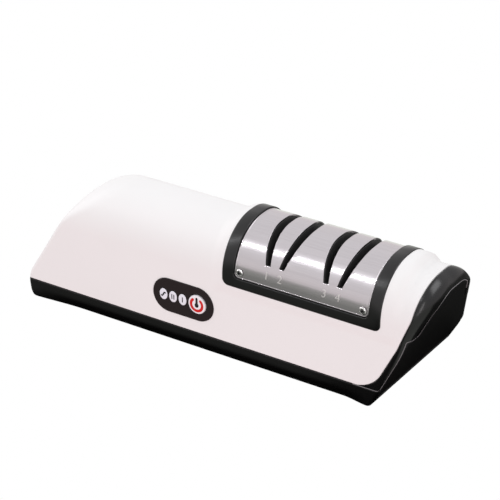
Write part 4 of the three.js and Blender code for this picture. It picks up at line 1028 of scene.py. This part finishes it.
# Worn by the CAD's inner pieces only
plastic("fine_abrasive", (0.34, 0.33, 0.31), 0.8, "fine_abrasive", bump=0.6, Grain_per_mm=8.0, Mottling=0.3)
plastic(
    "coarse_abrasive", (0.24, 0.23, 0.22), 0.85, "coarse_abrasive", bump=0.9, Grain_per_mm=3.0, Mottling=0.5,
)
plastic("magnet_ferrite", (0.05, 0.05, 0.055), 0.6, "magnet_grey", bump=0.3)
plastic("board_green_mask", (0.02, 0.16, 0.07), 0.3, "board_green")
plastic("foot_rubber", (0.03, 0.03, 0.03), 0.8, "black_rubber", bump=0.3)
plastic("lead_red_sleeve", (0.5, 0.02, 0.02), 0.4, "lead_red")
metal("shaft_ground_steel", (0.6, 0.6, 0.62), 0.25, "shaft_steel")
metal("motor_plated_steel", (0.5, 0.51, 0.53), 0.32, "motor_steel", Strength=0.15)
metal("bush_bronze", (0.56, 0.36, 0.16), 0.35, "bronze_bush")
metal("winding_copper", (0.75, 0.33, 0.16), 0.3, "winding_copper")

white_housing(white_plastic)
end_rim(rim_plastic)
rim_edge_line(rim_highlight_paint)
drawer_front(matt_plastic)
open_tray(matt_plastic)
base_band(base_plastic)
plate_frame(frame_plastic)
steel_plate(plate_metal)
slot_throats(throat_plastic)
plate_screws(screw_metal, screw_recess_shade)
control_panel(panel_plastic)
power_button(button_plastic)
panel_marks(lens_plastic, sign_dark, ring_red)
slot_xs = [pair + side * SLOT_HALF_GAP for pair in SLOT_PAIRS for side in (-1, 1)]
for text, x in zip("1234", slot_xs):
    numeral(text, x, run_at(NUMERAL_FOOT_Z), etched_metal)

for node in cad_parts.values():
    for holder in node.material_slots:
        slot = holder.material.name.split(".")[0] if holder.material else ""
        if slot in cad_finishes:
            holder.material = cad_finishes[slot]


# Studio, in metres: the floor's tones in what is mirrored, with painted shadow round the footprint and to the
# right and painted light behind and at the right-front corner, the room's light by direction, and the
# softboxes.
# Four numbers are the start and end of a span and the values there.
FOOTPRINT = (0.108, 0.038)
# In the mirrored sheet: painted shadow round the footprint, painted light behind, painted shade to the right
# and a painted pool of light at the right-front corner
FLOOR_NEAR = (0.003, 0.012, 0.0, 0.22)
FLOOR_FAR = (0.05, 0.3, 0.0, 0.1)
FLOOR_BEHIND = (0.075, 0.105, 0.0, 0.65)
FLOOR_RIGHT = (0.04, 0.065, 1.0, 0.15)
FLOOR_FRONT = (-0.035, -0.03, 1.0, 0.0)
FLOOR_CORNER = (0.098, 0.114, 0.0, 0.6)
FLOOR_TINT = (0.97, 1.0, 0.93, 1)
FLOOR_GLOW = (1.1, 0.92, 0.94, 1)
ROOM_LIGHT = (-0.5, 0.5, 0.84, 0.88)
ROOM_DIFFUSE = (0.0, 1.0, 1.0, 0.84)
ROOM_RISE = (0.0, 0.6, 0.0, 1.0)
ROOM_LOW_TINT = (1.0, 0.95, 0.95, 1)
ROOM_HIGH_TINT = (1.0, 0.985, 1.0, 1)
# Name, place, size, power, colour, and which way the long side runs
SOFTBOXES = [
    ("strip_box", (-0.62, -0.79, 1.1), (1.5, 0.02), 3.4, (0.97, 0.97, 1.0), (0.948, -0.03, 0.316)),
    ("top_box", (0.75, 0.3, 1.3), (0.8, 0.8), 6.0, (0.98, 0.98, 1.0), (0, 1, 0)),
    ("right_front_box", (0.95, -1.6, 0.75), (0.22, 1.5), 4.6, (1.0, 0.96, 0.97), (1, 0.6, 0)),
    ("left_box", (-1.5, 0.1, 0.7), (0.9, 0.9), 6.0, (1.0, 0.99, 1.0), (0, 1, 0)),
]
LIGHT_AIM = Vector((0.03, -0.02, 0.05))
FLOOR_HALF = 4
CAMERA_AT = (0.48213, -0.75114, 0.50743)
CAMERA_WAY = (-0.48298, 0.74288, -0.46354)
CAMERA_LENS, CAMERA_SENSOR = 149.83, 36.0


def area_light(name, at, size, power, colour, along):
    """A softbox that faces the object."""
    light = bpy.data.lights.new(name, "AREA")
    light.shape = "RECTANGLE"
    light.size, light.size_y = size
    light.energy = power
    light.color = colour
    holder = bpy.data.objects.new(name, light)
    back = (Vector(at) - LIGHT_AIM).normalized()
    side = Vector(along)
    side = (side - back * side.dot(back)).normalized()
    turn = Matrix((side, back.cross(side), back)).transposed()
    holder.matrix_world = Matrix.Translation(at) @ turn.to_4x4()
    bpy.context.scene.collection.objects.link(holder)


def lit_floor(tree):
    """The floor: plain white to look at, and a darker glowing sheet in what the gloss and the metal mirror,
    with painted shadow round the footprint and to the right and painted light behind and at the right-front
    corner.
    """
    n = Nodes(tree)
    tree.nodes.remove(tree.nodes["Principled BSDF"])
    axes = n.split(n.add("ShaderNodeTexCoord").outputs["Object"])
    out_x, out_y = (
        n.calc("MAXIMUM", n.calc("SUBTRACT", n.calc("ABSOLUTE", axes[i]), FOOTPRINT[i]), 0.0) for i in (0, 1)
    )
    away = n.calc("SQRT", n.calc("ADD", n.calc("MULTIPLY", out_x, out_x), n.calc("MULTIPLY", out_y, out_y)))
    # Painted shadow near the footprint, painted light further off and behind, painted shade to the right and
    # a painted light pool at the right-front corner
    shade = n.calc("ADD", n.remap(away, *FLOOR_NEAR), n.remap(away, *FLOOR_FAR))
    shade = n.calc("ADD", shade, n.remap(axes[1], *FLOOR_BEHIND))
    shade = n.calc("MULTIPLY", shade, n.remap(axes[0], *FLOOR_RIGHT))
    corner = n.calc("MULTIPLY", n.remap(axes[1], *FLOOR_FRONT), n.remap(axes[0], *FLOOR_CORNER))
    mirrored, glow, white = (n.add("ShaderNodeEmission") for _ in range(3))
    n.put(n.calc("ADD", shade, corner), mirrored.inputs["Strength"])
    mirrored.inputs["Color"].default_value = FLOOR_TINT
    glow.inputs["Color"].default_value = FLOOR_GLOW
    path = n.add("ShaderNodeLightPath").outputs
    lit = n.blend(path["Is Diffuse Ray"], mirrored, glow)
    shown = n.blend(path["Is Camera Ray"], lit, white)
    n.put(shown.outputs[0], tree.nodes["Material Output"].inputs["Surface"])


def lit_room(tree):
    """The room: a little brighter behind, warmer low down, and plain white to look at."""
    n = Nodes(tree)
    axes = n.split(n.add("ShaderNodeTexCoord").outputs["Generated"])
    path = n.add("ShaderNodeLightPath").outputs
    tint = n.add("ShaderNodeMix", data_type="RGBA")
    for socket, value in ((0, n.remap(axes[2], *ROOM_RISE)), (6, ROOM_LOW_TINT), (7, ROOM_HIGH_TINT)):
        n.put(value, tint.inputs[socket])
    room, white = tree.nodes["Background"], n.add("ShaderNodeBackground")
    n.put(tint.outputs[2], room.inputs["Color"])
    share = n.remap(path["Is Diffuse Ray"], *ROOM_DIFFUSE)
    n.put(n.calc("MULTIPLY", n.remap(axes[1], *ROOM_LIGHT), share), room.inputs["Strength"])
    white.inputs["Color"].default_value = (1, 1, 1, 1)
    shown = n.blend(path["Is Camera Ray"], room, white)
    n.put(shown.outputs[0], tree.nodes["World Output"].inputs["Surface"])


def studio():
    """A white floor, a bright room and long softboxes round the object."""
    mesh = bpy.data.meshes.new("floor")
    s = FLOOR_HALF
    mesh.from_pydata([(-s, -s, 0), (s, -s, 0), (s, s, 0), (-s, s, 0)], [], [(0, 1, 2, 3)])
    floor = bpy.data.objects.new("floor", mesh)
    bpy.context.scene.collection.objects.link(floor)
    paint = bpy.data.materials.new("floor_white")
    paint.use_nodes = True
    lit_floor(paint.node_tree)
    mesh.materials.append(paint)
    world = bpy.data.worlds.new("room")
    world.use_nodes = True
    lit_room(world.node_tree)
    bpy.context.scene.world = world
    for light in SOFTBOXES:
        area_light(*light)


def camera():
    """The view of the photograph."""
    lens = bpy.data.cameras.new("photo_view")
    lens.lens, lens.sensor_width = CAMERA_LENS, CAMERA_SENSOR
    lens.clip_start, lens.clip_end = 0.05, 30
    holder = bpy.data.objects.new("photo_view", lens)
    holder.location = CAMERA_AT
    holder.rotation_euler = Vector(CAMERA_WAY).to_track_quat("-Z", "Y").to_euler()
    bpy.context.scene.collection.objects.link(holder)
    bpy.context.scene.camera = holder


studio()
camera()
bpy.context.scene.view_settings.view_transform = "Standard"


def corners(bounds):
    return [[float(v) for v in corner] for corner in bounds]
